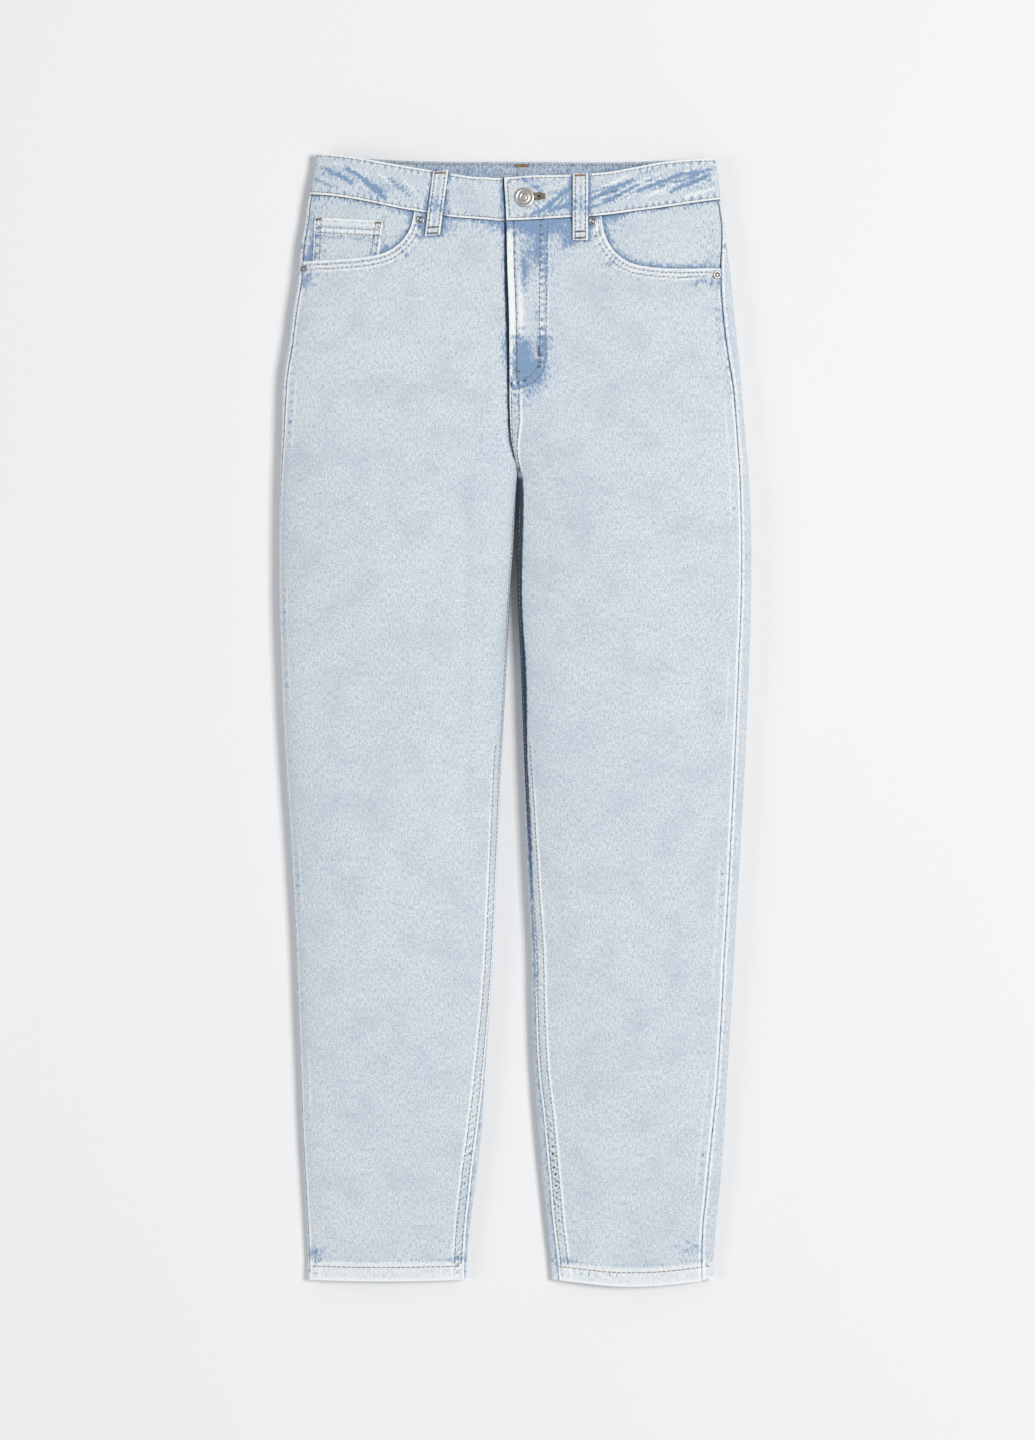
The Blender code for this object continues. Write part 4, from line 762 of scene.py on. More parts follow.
def band_detail(side, y, a, x):
    low, high = band_edges(x, a)
    front = a > 0
    from_low, from_high = y - low, high - y
    tight = ripple(x, 6.2, 0.4 + side)
    fine = ripple(x + 0.35 * y, 4.3, 2.0)
    creases = np.where(front, folds(x, y, BAND_CREASES), 0.0)
    rims = bell(from_low, 0.0, 0.9) + bell(from_high, 0.0, 0.9)
    lean = np.where(x < 0, -0.55, np.where(x < 52.0, 0.85, 0.4))
    across = (y - lean * x) / np.hypot(1.0, lean) + 1.1 * np.sin(x / 11.0) + 0.5 * np.sin(x / 4.7 + 1.0)
    whiskers = ripple(across, 4.9, 0.6) * np.where(front, patches(x, y, WHISKER_PLACES), 0.0)
    height = 0.26 * tight * (bell(from_low, 3.4, 4.0) + bell(from_high, 3.4, 3.4)) + 0.06 * fine - 0.45 * rims
    height = height - 0.3 * (bell(from_low, 2.3, 0.6) + bell(from_high, 2.3, 0.6)) + 0.9 * creases + 0.3 * whiskers
    fade = 1.0 * (bell(from_low, 0.6, 0.9) + bell(from_high, 0.6, 0.9))
    fade = fade + 0.55 * step(tight, 0.1, 0.8) * (bell(from_low, 4.4, 2.2) + bell(from_high, 4.4, 2.2))
    fade = fade + 1.1 * np.clip(creases, 0.0, 1.0) + 1.1 * step(whiskers, 0.1, 0.7)
    deep = 0.6 * step(-tight, -0.1, 0.8) * (bell(from_low, 3.4, 2.4) + bell(from_high, 3.4, 2.0))
    deep = deep + np.where(front, patches(x, y, BAND_BLUE) + 0.5 * loop_shadow(x, y, 3.4), 0.2)
    deep = deep + 0.8 * np.clip(-creases, 0.0, 1.0) + 0.6 * step(-whiskers, 0.15, 0.75)
    # dark: painted shade beside the loops, and partly kept indigo, partly painted shade in the troughs near the lower
    # edge, the crease hollows and the whisker troughs
    dark = np.where(front, 0.5 * loop_shadow(x, y, 0.9), 0.0) + 0.15 * step(-tight, 0.3, 0.9) * bell(from_low, 2.6, 0.9)
    dark = dark + 0.3 * np.clip(-creases - 0.35, 0.0, 1.0) + 0.3 * step(-whiskers, 0.45, 0.9)
    inner = edges(side, y)[1]
    if side > 0:
        fade = fade + np.where(front, bell(x - inner, 0.7, 0.9), 0.0)
        height = height - np.where(front, 0.4 * bell(x - inner, 0.0, 0.9) - 0.3 * bell(x - inner, 3.0, 2.0), 0.0)
    else:
        # a painted shadow line along the tab's edge on the underlap, and bluer beside it
        dark = dark + np.where(front, bell(inner - x, 0.2, 1.3), 0.0)
        deep = deep + np.where(front, 0.5 * bell(inner - x, 0.0, 4.0), 0.0)
    return height, fade, deep, dark


def bearer_detail(side, y, a, x):
    """Pocket lining of the same denim: bluer near the mouth's edge and the waistband, partly indigo sheltered from the
    drum and partly painted shade, with a painted shadow line right under both edges.
    """
    mouth = nearest_on(MOUTHS[side], x, y)[0]
    from_waist = blend(BAND_FRONT, 1, x) - y
    zero = np.zeros(np.shape(x))
    deep = 0.55 * bell(mouth, 0.0, 4.2) + 0.14 * bell(mouth, 0.0, 14.0) + 0.5 * bell(from_waist, 0.0, 5.0)
    deep = deep + patches(x, y, [(-172.0, 442.0, 12.0, 8.0, 0.3), (-178.0, 405.0, 6.0, 20.0, 0.35),
                                 (170.0, 418.0, 10.0, 26.0, 0.25), (88.0, 436.0, 8.0, 14.0, 0.3)])
    if side < 0:
        beside_coin = np.abs(x + 145.0) - 31.0
        deep = deep + 0.35 * bell(beside_coin, 1.0, 2.6) * step(440.0 - y, 0.0, 6.0)
    # painted shadow lines right under the mouth's edge and the waistband
    dark = 0.5 * bell(mouth, 0.0, 0.9) + 0.55 * bell(from_waist, 0.0, 0.9)
    return zero, zero, deep, dark


def coin_detail(side, y, a, x):
    t = (x - COIN_TOP[0][0]) / (COIN_TOP[1][0] - COIN_TOP[0][0])
    top = COIN_TOP[0][1] + (COIN_TOP[1][1] - COIN_TOP[0][1]) * t
    low_left = COIN_TOP[0][0] + (COIN_LOW[0][0] - COIN_TOP[0][0]) * (COIN_TOP[0][1] - y) / 59.5
    low_right = COIN_TOP[1][0] + (COIN_LOW[1][0] - COIN_TOP[1][0]) * (COIN_TOP[1][1] - y) / 55.7
    from_top, from_left, from_right = top - y, x - low_left, low_right - x
    tuck = ripple(x, 6.5, 0.8)
    side_tuck = ripple(y, 6.8, 2.8)
    hem = 1.0 - step(from_top, 14.5, 16.0)
    rows = bell(from_top, 8.5, 0.6) + bell(from_top, 13.5, 0.6)
    height = 0.3 * hem + 0.16 * tuck * bell(from_top, 10.5, 4.0) - 0.2 * rows
    height = height + 0.14 * side_tuck * (bell(from_left, 3.0, 3.0) + bell(from_right, 3.0, 3.0))
    height = height - 0.35 * (bell(from_left, 0.0, 0.7) + bell(from_right, 0.0, 0.7) + bell(from_top, 0.0, 0.7))
    fade = 1.0 * (bell(from_top, 0.9, 1.2) + bell(from_left, 0.9, 1.1) + bell(from_right, 0.9, 1.1))
    fade = fade + 0.8 * bell(from_top, 11.0, 1.4) + 0.5 * bell(from_top, 5.0, 2.0)
    deep = 0.34 * bell(from_top, 17.0, 2.6) + 0.4 * bell(from_top, 11.0, 3.4) * step(-tuck, 0.0, 0.8)
    deep = deep + patches(x, y, [(-170.0, 401.0, 10.0, 14.0, 0.3), (-124.0, 396.0, 8.0, 12.0, 0.4)])
    deep = deep + 0.6 * step(-side_tuck, -0.1, 0.7) * (bell(from_left, 3.6, 1.8) + bell(from_right, 3.6, 1.8))
    # dark: partly kept indigo, partly painted shade in the groove below the hem, and painted shade along the pocket's
    # side and top edges
    dark = 0.3 * bell(from_top, 15.2, 0.8) + 0.3 * (bell(from_left, 0.0, 0.5) + bell(from_right, 0.0, 0.5))
    return height, fade, deep, dark + 0.35 * bell(from_top, 0.0, 0.5)


def plain_detail(side, y, a, x):
    zero = np.zeros(np.shape(x))
    return zero, zero, zero + 0.3, zero


# %% [markdown]
# ## Building a shell
# A cloth shell has an outer side with all the detail, a plain inner side one cloth thickness below it, and the
# cut edges between. Both sides are grids, so the mesh is made straight from arrays of points. The running
# lengths are kept as UV coordinates in metres: the weave then follows the cloth as it does on a real roll.
# Fading, indigo and a dark channel, partly indigo kept in tight creases and partly painted shade, travel with the mesh
# as a colour attribute called wash_and_shade.

# %% Grids of points into meshes
def grid_faces(rows, columns):
    corner = np.arange(rows * columns).reshape(rows, columns)
    a, b, c, d = corner[:-1, :-1], corner[:-1, 1:], corner[1:, 1:], corner[1:, :-1]
    return np.stack([a, b, c, d], -1).reshape(-1, 4)


def rim_faces(rows, columns):
    corner = np.arange(rows * columns).reshape(rows, columns)
    border = np.concatenate([corner[0, :], corner[1:, -1], corner[-1, -2::-1], corner[-2:0:-1, 0]])
    after = np.roll(border, -1)
    below = rows * columns
    return np.stack([after, border, border + below, after + below], -1)


def mesh_object(name, points, faces, uv, wash_and_shade, materials, material_of_face, smooth=True):
    """Mesh from arrays; points in mm, uv and wash_and_shade one row per point."""
    mesh = bpy.data.meshes.new(name)
    mesh.from_pydata(points * MM, [], faces)
    mesh.update()
    corner = np.empty(len(mesh.loops), dtype=np.int32)
    mesh.loops.foreach_get("vertex_index", corner)
    layer = mesh.uv_layers.new(name="cloth_run")
    layer.data.foreach_set("uv", np.asarray(uv, dtype=np.float32)[corner].ravel())
    colors = mesh.color_attributes.new(name="wash_and_shade", type="FLOAT_COLOR", domain="CORNER")
    colors.data.foreach_set("color", np.asarray(wash_and_shade, dtype=np.float32)[corner].ravel())
    for finish in materials:
        mesh.materials.append(finish)
    mesh.polygons.foreach_set("material_index", np.asarray(material_of_face, dtype=np.int32))
    mesh.polygons.foreach_set("use_smooth", np.full(len(mesh.polygons), smooth))
    piece = bpy.data.objects.new(name, mesh)
    bpy.context.scene.collection.objects.link(piece)
    return piece


def shell_from_sides(name, outer, inner, uv, wear, finish, reverse):
    """Closed cloth shell from its two sides."""
    rows, columns = outer.shape[:2]
    quads = grid_faces(rows, columns)
    count = rows * columns
    i = len(quads) // 2
    p = outer.reshape(-1, 3)[quads[i]]
    turned = np.dot(np.cross(p[1] - p[0], p[3] - p[0]), p[0] - inner.reshape(-1, 3)[quads[i][0]]) < 0
    faces = np.concatenate([quads, quads[:, ::-1] + count, rim_faces(rows, columns)])
    if turned:
        faces = faces[:, ::-1]
    kinds = np.concatenate([np.zeros(len(quads)), np.ones(len(quads)), np.zeros(len(faces) - 2 * len(quads))])
    flat_uv = np.stack([np.broadcast_to(u, outer.shape[:2]) for u in uv], -1).reshape(-1, 2) * MM
    wash_and_shade = np.zeros((2 * count, 4))
    # the third channel of wear is partly kept indigo, partly painted shade
    for channel, amount in enumerate(wear):
        wash_and_shade[:count, channel] = np.clip(np.broadcast_to(amount, outer.shape[:2]), 0, 1).ravel()
    wash_and_shade[count:, :2] = (0.22, 0.36)
    wash_and_shade[:, 3] = 1.0
    points = np.concatenate([outer.reshape(-1, 3), inner.reshape(-1, 3)])
    piece = mesh_object(name, points, faces, np.concatenate([flat_uv, flat_uv]), wash_and_shade, [finish, reverse], kinds)
    piece.data.set_sharp_from_angle(angle=math.radians(60.0))
    return piece


CUTS = {}


def measure_cut(name, points):
    """Width, length and area the piece had on the cutting table, before its creases."""
    across = np.linalg.norm(np.diff(points, axis=1), axis=2).sum(1)
    along = np.linalg.norm(np.diff(points, axis=0), axis=2).sum(0)
    sides = np.cross(points[1:, :-1] - points[:-1, :-1], points[:-1, 1:] - points[:-1, :-1])
    area = np.linalg.norm(sides, axis=2).sum()
    width, length = float(across.max()) * MM, float(along.max()) * MM
    CUTS[name] = (width, length, min(float(area) * MM * MM, width * length))


def shell(name, side, y, a, depth, thick, detail, finish, reverse):
    """Cloth shell whose outer side lies depth below the garment's surface."""
    x, z = spot(side, y, a)
    normal = outward(side, y, a)
    here = np.stack([x, np.broadcast_to(y, x.shape), z], -1)
    loose = slack(side, y, a, x) - depth
    # wear holds fading, kept indigo and dark lines that are partly painted shade
    height, *wear = detail(side, y, a, x)
    outer = here + normal * (loose + height)[..., None]
    inner = here + normal * (loose - thick)[..., None]
    measure_cut(name, here)
    roll = 1370.0 * len(CUTS)
    return shell_from_sides(name, outer, inner, (a + roll, y), wear, finish, reverse)


# columns: close together at the seams, wider over the plain cloth between
SEAM_STEPS = np.array([0.0, 0.5, 1.0, 1.5, 2.0, 2.6, 3.3, 4.2, 5.2, 6.2, 7.2, 8.2, 9.2, 10.2, 11.2, 12.4, 14.0, 16.5])
FLY_STEPS = np.concatenate([SEAM_STEPS[:-1], np.arange(16.0, 41.0, 1.7)])


def spread(width, first, last, middle):
    """Shares from 0 to 1 over each row, with fixed steps in mm at both ends."""
    rows = []
    for w in np.ravel(width):
        low, high = first / w, 1.0 - last[::-1] / w
        between = np.linspace(low[-1], high[0], middle + 2)[1:-1]
        rows.append(np.concatenate([low, between, high]))
    return np.array(rows)

# %% [markdown]
# ## Materials
# One function adds a node, sets it and links what feeds it. Colours are picked as sRGB hex values and turned
# to the linear numbers that the shader works with.

# %% Node helper and colours
def linear(code):
    """sRGB hex to linear red, green, blue and alpha."""
    parts = [int(code[i:i + 2], 16) / 255.0 for i in (1, 3, 5)]
    return tuple(c / 12.92 if c <= 0.04045 else ((c + 0.055) / 1.055) ** 2.4 for c in parts) + (1.0,)


def add_node(tree, kind, settings=None, inputs=None):
    """One node; inputs are values, or the sockets that feed them."""
    made = tree.nodes.new(kind)
    for key, value in (settings or {}).items():
        setattr(made, key, value)
    for key, value in (inputs or {}).items():
        if isinstance(value, bpy.types.NodeSocket):
            tree.links.new(value, made.inputs[key])
        else:
            made.inputs[key].default_value = value
    return made


def new_material(name):
    finish = bpy.data.materials.new(name)
    finish.use_nodes = True
    tree = finish.node_tree
    tree.nodes.clear()
    return finish, tree


# %% [markdown]
# ## Denim
# Denim is a 3/1 warp-faced twill: blue warp yarns run down the leg and cover the undyed weft. Ring-spun warp
# is thick and thin by turns, so the bleached cloth shows short upright streaks, a fine pepper of pale flecks
# where the white weft looks through, and soft clouds from the stones in the washing drum. The twill line
# repeats about every 0.6 mm; that is finer than a pixel here, so it is drawn at 1.3 mm, the streaks at
# 1.3 by 4 mm and the flecks at 1.4 mm. Cotton is rough and matt, with a faint fuzz, so the roughness is near
# 0.9 and a little sheen is set on the shader itself.

# %% Stone-washed denim
TWILL_MM, STREAK_MM, FLECK_MM, SCUFF_MM, CLOUD_MM, DRIFT_MM = 1.3, (1.3, 4.2), 1.4, 7.0, 30.0, 130.0


def stone_washed_denim(name, plain, cool, worn, shade, blue, blue_yarn, crease_and_shade_navy="#2F3D52", grain=1.0):
    """Bleached ring-spun denim; wash_and_shade carries fading in red, kept indigo in green, and in blue dark lines that
    are partly indigo kept in tight creases and partly painted shade.
    """
    finish, tree = new_material(name)
    run = add_node(tree, "ShaderNodeUVMap", {"uv_map": "cloth_run"}).outputs["UV"]
    wash_and_shade = add_node(tree, "ShaderNodeAttribute", {"attribute_name": "wash_and_shade"})
    parts = add_node(tree, "ShaderNodeSeparateColor", {}, {0: wash_and_shade.outputs["Color"]})
    noise = {}
    for what, size, detail, rough in (("fleck", FLECK_MM, 2.0, 0.7), ("scuff", SCUFF_MM, 5.0, 0.72),
                                      ("cloud", CLOUD_MM, 4.0, 0.6), ("drift", DRIFT_MM, 2.0, 0.5)):
        noise[what] = add_node(tree, "ShaderNodeTexNoise", {}, {
            "Vector": run, "Scale": 1000 / size, "Detail": detail, "Roughness": rough}).outputs["Fac"]
    scaled = add_node(tree, "ShaderNodeVectorMath", {"operation": "MULTIPLY"},
                      {0: run, 1: (1000 / STREAK_MM[0], 1000 / STREAK_MM[1], 1.0)})
    streak = add_node(tree, "ShaderNodeTexNoise", {}, {"Vector": scaled.outputs[0], "Scale": 1.0,
                                                      "Detail": 3.0, "Roughness": 0.65}).outputs["Fac"]
    slant = add_node(tree, "ShaderNodeMapping", {}, {"Vector": run, "Rotation": (0.0, 0.0, math.radians(63.0))})
    twill = add_node(tree, "ShaderNodeTexWave", {"bands_direction": "X"},
                     {"Vector": slant.outputs[0], "Scale": 1000 / TWILL_MM / 20, "Distortion": 0.8})
    tint = add_node(tree, "ShaderNodeMapRange", {}, {0: noise["drift"], 1: 0.38, 2: 0.62})
    colour = add_node(tree, "ShaderNodeMix", {"data_type": "RGBA"},
                      {0: tint.outputs[0], 6: linear(plain), 7: linear(cool)}).outputs[2]
    # warp streaks, weft flecks and stone clouds, each from a noise turned into a share
    for source, low, high, most, into in ((streak, 0.42, 0.70, 1.0 * grain, shade),
                                          (noise["fleck"], 0.46, 0.78, 0.9 * grain, worn),
                                          (noise["fleck"], 0.54, 0.28, 0.55 * grain, shade),
                                          (noise["cloud"], 0.46, 0.78, 0.42, shade)):
        share = add_node(tree, "ShaderNodeMapRange", {}, {0: source, 1: low, 2: high, 4: most})
        colour = add_node(tree, "ShaderNodeMix", {"data_type": "RGBA"},
                          {0: share.outputs[0], 6: colour, 7: linear(into)}).outputs[2]
    # indigo that stayed is itself uneven: darker where the warp yarn is thick
    thick_yarn = add_node(tree, "ShaderNodeMapRange", {}, {0: noise["fleck"], 1: 0.47, 2: 0.66})
    indigo = add_node(tree, "ShaderNodeMix", {"data_type": "RGBA"},
                      {0: thick_yarn.outputs[0], 6: linear(blue), 7: linear(blue_yarn)}).outputs[2]
    # the wash_and_shade channels: each bites where streaks and scuffs let it, so its edges come out ragged; the third
    # mixes in navy, partly kept indigo and partly painted shade
    for channel, fine, lean, low, high, into, most in ((0, noise["fleck"], 2.0, 0.12, 0.72, linear(worn), 0.97),
                                                       (1, streak, 3.0, 0.24, 0.66, indigo, 0.96),
                                                       (2, streak, 1.4, 0.16, 0.62, linear(crease_and_shade_navy), 0.96)):
        amount = parts.outputs[channel]
        for source, share in ((fine, 0.6 * lean), (noise["scuff"], 0.4 * lean)):
            amount = add_node(tree, "ShaderNodeMath", {"operation": "MULTIPLY_ADD"},
                              {0: source, 1: share, 2: amount}).outputs[0]
        ragged = add_node(tree, "ShaderNodeMapRange", {},
                          {0: amount, 1: low + 0.5 * lean, 2: high + 0.5 * lean, 4: most})
        present = add_node(tree, "ShaderNodeMapRange", {}, {0: parts.outputs[channel], 1: 0.01, 2: 0.14})
        share = add_node(tree, "ShaderNodeMath", {"operation": "MULTIPLY", "use_clamp": True},
                         {0: ragged.outputs[0], 1: present.outputs[0]})
        colour = add_node(tree, "ShaderNodeMix", {"data_type": "RGBA"},
                          {0: share.outputs[0], 6: colour, 7: into}).outputs[2]
    rough = add_node(tree, "ShaderNodeMapRange", {}, {0: noise["fleck"], 3: 0.84, 4: 0.97})
    threads = add_node(tree, "ShaderNodeMath", {"operation": "MULTIPLY_ADD"},
                       {0: twill.outputs["Fac"], 1: 0.45, 2: streak})
    weave = add_node(tree, "ShaderNodeBump", {}, {"Height": threads.outputs[0], "Strength": 0.6,
                                                 "Distance": 0.0005})
    crumple = add_node(tree, "ShaderNodeBump", {}, {"Height": noise["scuff"], "Strength": 0.3,
                                                   "Distance": 0.0007, "Normal": weave.outputs[0]})
    shader = add_node(tree, "ShaderNodeBsdfPrincipled", {},
                      {"Base Color": colour, "Roughness": rough.outputs[0],
                       "Normal": crumple.outputs[0], "Sheen Weight": 0.12, "Sheen Roughness": 0.5,
                       "Specular IOR Level": 0.25})
    add_node(tree, "ShaderNodeOutputMaterial", {}, {"Surface": shader.outputs[0]})
    return finish


DENIM = stone_washed_denim("stone_washed_denim", "#DFE6E9", "#D9E1E9", "#F2F5F6", "#A9B8C7", "#89A4C4", "#6383AC")
DENIM_BLUE = stone_washed_denim("unwashed_side_denim", "#C4CFDA", "#BCC9D6", "#E4E9EE", "#8FA5BC", "#7592B6",
                                "#587AA4")
REVERSE = stone_washed_denim("denim_reverse", "#C3CBD2", "#BEC8D1", "#DDE1E4", "#A3B2C0", "#8FA5BC", "#6F89A6",
                             grain=0.8)

# %% [markdown]
# ## Thread, tape and metal
# Topstitching thread is cotton-wrapped polyester, about 0.5 mm thick and twisted, with a slight lustre; here
# it was washed with the jeans from tan to a grey beige, and only at the hems and the buttonhole is it still
# tan. The shank button and rivets are nickel-plated brass, stamped and tumbled: bright where they rub, grey
# in their rings. The zip has a cotton tape and brass teeth.

# %% Thread
def topstitch_thread(name, pale, dark):
    finish, tree = new_material(name)
    place = add_node(tree, "ShaderNodeTexCoord")
    tone = add_node(tree, "ShaderNodeTexNoise", {}, {"Vector": place.outputs["Object"], "Scale": 190.0,
                                                    "Detail": 3.0})
    ply = add_node(tree, "ShaderNodeTexWave", {"bands_direction": "DIAGONAL"},
                   {"Vector": place.outputs["Object"], "Scale": 420.0, "Distortion": 1.0})
    wear = add_node(tree, "ShaderNodeMapRange", {}, {0: tone.outputs["Fac"], 1: 0.35, 2: 0.68})
    colour = add_node(tree, "ShaderNodeMix", {"data_type": "RGBA"},
                      {0: wear.outputs[0], 6: linear(pale), 7: linear(dark)})
    rough = add_node(tree, "ShaderNodeMapRange", {}, {0: tone.outputs["Fac"], 3: 0.5, 4: 0.72})
    twist = add_node(tree, "ShaderNodeBump", {}, {"Height": ply.outputs["Fac"], "Strength": 0.5,
                                                 "Distance": 0.0002})
    shader = add_node(tree, "ShaderNodeBsdfPrincipled", {},
                      {"Base Color": colour.outputs[2], "Roughness": rough.outputs[0],
                       "Normal": twist.outputs[0], "Sheen Weight": 0.2})
    add_node(tree, "ShaderNodeOutputMaterial", {}, {"Surface": shader.outputs[0]})
    return finish


THREAD_GREY = topstitch_thread("washed_topstitch_thread", "#8F8984", "#5F5B57")
THREAD_TAN = topstitch_thread("tan_topstitch_thread", "#A88B5E", "#6C5A42")


# %% Metal
def tumbled_metal(name, bright, dull, low, high):
    """Plated and tumbled metal; the green of wash_and_shade marks the recesses where the plating is dull."""
    finish, tree = new_material(name)
    place = add_node(tree, "ShaderNodeTexCoord")
    wash_and_shade = add_node(tree, "ShaderNodeAttribute", {"attribute_name": "wash_and_shade"})
    parts = add_node(tree, "ShaderNodeSeparateColor", {}, {0: wash_and_shade.outputs["Color"]})
    scuff = add_node(tree, "ShaderNodeTexNoise", {}, {"Vector": place.outputs["Object"], "Scale": 900.0,
                                                     "Detail": 4.0})
    cover = add_node(tree, "ShaderNodeMath", {"operation": "MULTIPLY_ADD", "use_clamp": True},
                     {0: scuff.outputs["Fac"], 1: 0.25, 2: parts.outputs[1]})
    colour = add_node(tree, "ShaderNodeMix", {"data_type": "RGBA"},
                      {0: cover.outputs[0], 6: linear(bright), 7: linear(dull)})
    rough = add_node(tree, "ShaderNodeMapRange", {}, {0: scuff.outputs["Fac"], 3: low, 4: high})
    marks = add_node(tree, "ShaderNodeBump", {}, {"Height": scuff.outputs["Fac"], "Strength": 0.25,
                                                 "Distance": 0.0001})
    shader = add_node(tree, "ShaderNodeBsdfPrincipled", {},
                      {"Base Color": colour.outputs[2], "Roughness": rough.outputs[0], "Metallic": 1.0,
                       "Normal": marks.outputs[0]})
    add_node(tree, "ShaderNodeOutputMaterial", {}, {"Surface": shader.outputs[0]})
    return finish


NICKEL = tumbled_metal("tumbled_nickel", "#DAD8D3", "#7C7B7A", 0.26, 0.42)
BRASS = tumbled_metal("brass_zip_teeth", "#C9AE74", "#7E6A40", 0.25, 0.4)


# %% Zip tape
def zip_tape(name):
    """Herringbone cotton tape, woven at 1.2 mm."""
    finish, tree = new_material(name)
    place = add_node(tree, "ShaderNodeTexCoord")
    rib = add_node(tree, "ShaderNodeTexWave", {"bands_direction": "DIAGONAL"},
                   {"Vector": place.outputs["Object"], "Scale": 260.0})
    shade = add_node(tree, "ShaderNodeTexNoise", {}, {"Vector": place.outputs["Object"], "Scale": 120.0})
    colour = add_node(tree, "ShaderNodeMix", {"data_type": "RGBA"},
                      {0: shade.outputs["Fac"], 6: linear("#A9B2B8"), 7: linear("#8C969E")})
    bump = add_node(tree, "ShaderNodeBump", {}, {"Height": rib.outputs["Fac"], "Strength": 0.5,
                                                "Distance": 0.0003})
    shader = add_node(tree, "ShaderNodeBsdfPrincipled", {},
                      {"Base Color": colour.outputs[2], "Roughness": 0.88, "Normal": bump.outputs[0]})
    add_node(tree, "ShaderNodeOutputMaterial", {}, {"Surface": shader.outputs[0]})
    return finish


TAPE = zip_tape("cotton_zip_tape")
print("materials:", [m.name for m in (DENIM, DENIM_BLUE, REVERSE, THREAD_GREY, THREAD_TAN, NICKEL, BRASS, TAPE)])

# %% [markdown]
# ## Front panels
# A front is one flat piece from waist to hem, with a curved bite at the hip for the pocket. The grid follows
# the seams, bends with the waist seam at the top and with the sagging hem below, and the pocket mouth is cut
# out of it with a Boolean, as shears would. The right front runs on below the left one at the fly.

# %% Build the fronts
ROW_STEP = 2.0


def cut_away(piece, outline, low, high):
    """Cut an upright prism with this plan outline out of a piece."""
    count = len(outline)
    area = sum(outline[i][0] * outline[(i + 1) % count][1] - outline[(i + 1) % count][0] * outline[i][1]
               for i in range(count))
    if area < 0:
        outline = outline[::-1]
    points = [(x * MM, y * MM, low * MM) for x, y in outline] + [(x * MM, y * MM, high * MM) for x, y in outline]
    faces = [tuple(reversed(range(count))), tuple(range(count, 2 * count))]
    faces += [(i, (i + 1) % count, count + (i + 1) % count, count + i) for i in range(count)]
    mesh = bpy.data.meshes.new("cutter")
    mesh.from_pydata(points, [], faces)
    cutter = bpy.data.objects.new("cutter", mesh)
    bpy.context.scene.collection.objects.link(cutter)
    cutting = piece.modifiers.new("cut", "BOOLEAN")
    cutting.operation = "DIFFERENCE"
    cutting.solver = "EXACT"
    cutting.object = cutter
    bpy.context.view_layer.update()
    result = bpy.data.meshes.new_from_object(piece.evaluated_get(bpy.context.evaluated_depsgraph_get()))
    piece.modifiers.remove(cutting)
    piece.data = result
    piece.data.name = piece.name
    bpy.data.objects.remove(cutter, do_unlink=True)


def panel_rows(top):
    """Heights of the rows from hem to waist, with closer ones at the hem fold."""
    low = HEM_Y + np.array([0.0, 0.7, 1.5, 2.5])
    return np.concatenate([low, np.arange(low[-1] + 1.5, top - 3.2, ROW_STEP), top + np.array([-2.4, -1.2, 0.0])])


def hem_thickness(y):
    return WALL + (HEM_WALL - WALL) * (1.0 - step(y, HEM_Y + HEM_HEIGHT, HEM_Y + HEM_HEIGHT + 1.5))


def front_grid(side):
    """y and a of every grid point of a front, rows bending to the waist seam and the hem."""
    waist = float(blend(BAND_FRONT, 1, side * 178.5)) - GAP / 2
    y = panel_rows(waist)[:, None]
    width = (seam_run(side, y, "in") - seam_run(side, y, "out"))
    share = spread(width, FLY_STEPS, SEAM_STEPS, 44)
    pull = step(y, 320.0, waist)
    sag = 1.0 - step(y, HEM_Y + 14.0, HEM_Y + 70.0)
    bent = np.broadcast_to(y, share.shape)
    for _ in range(4):
        lap = -GAP / 2 + (FLY_LAP + GAP / 2) * step(bent, 264.0, 288.0) if side < 0 else -GAP / 2
        inner = edges(side, bent)[1]
        a0 = np.where(bent > CROTCH_Y + 1.0, run_at(side, bent, inner - side * lap),
                      seam_run(side, bent, "in") - GAP / 2)
        a1 = seam_run(side, bent, "out") + GAP / 2
        a = a0 + (a1 - a0) * share
        x = spot(side, bent, a)[0]
        bent = y + pull * (blend(BAND_FRONT, 1, x) - waist - GAP / 2) - sag * hem_sag(side, x)
    return bent, a, x


def fly_dip(side, x, y):
    """The right front goes down below the left one at the fly's edge."""
    if side > 0:
        return np.zeros(x.shape)
    return (WALL + GAP + 0.1) * step(x - edges(side, y)[1], -15.0, -3.0) * step(y, 234.0, 260.0)


for side, name in ((-1, "front_right"), (1, "front_left")):
    y, a, x = front_grid(side)
    rows_y = y[:, :1] * 0 + panel_rows(float(blend(BAND_FRONT, 1, side * 178.5)) - GAP / 2)[:, None]
    panel = shell(name + "_cloth", side, y, a, fly_dip(side, x, y), hem_thickness(rows_y), front_detail,
                  DENIM, REVERSE)
    outline = MOUTHS[side] + [(side * 215.0, 500.0), (MOUTHS[side][0][0], 500.0)]
    cut_away(panel, outline, -20.0, 60.0)
    print(panel.name, "faces:", len(panel.data.polygons), "cut (m):", [round(v, 3) for v in CUTS[panel.name]])

# %% [markdown]
# ## Back panels and yokes
# The backs are wider than the fronts and lie on the table. They begin at the outseam, go round the side and
# end at the inseam, which on the left leg has crept on to the upper side. The yoke is the shaped strip
# between seat and waistband that replaces darts. The seat is pressed up a little by its patch pockets.

# %% Build the backs
PATCH_MIDDLE = 105.0


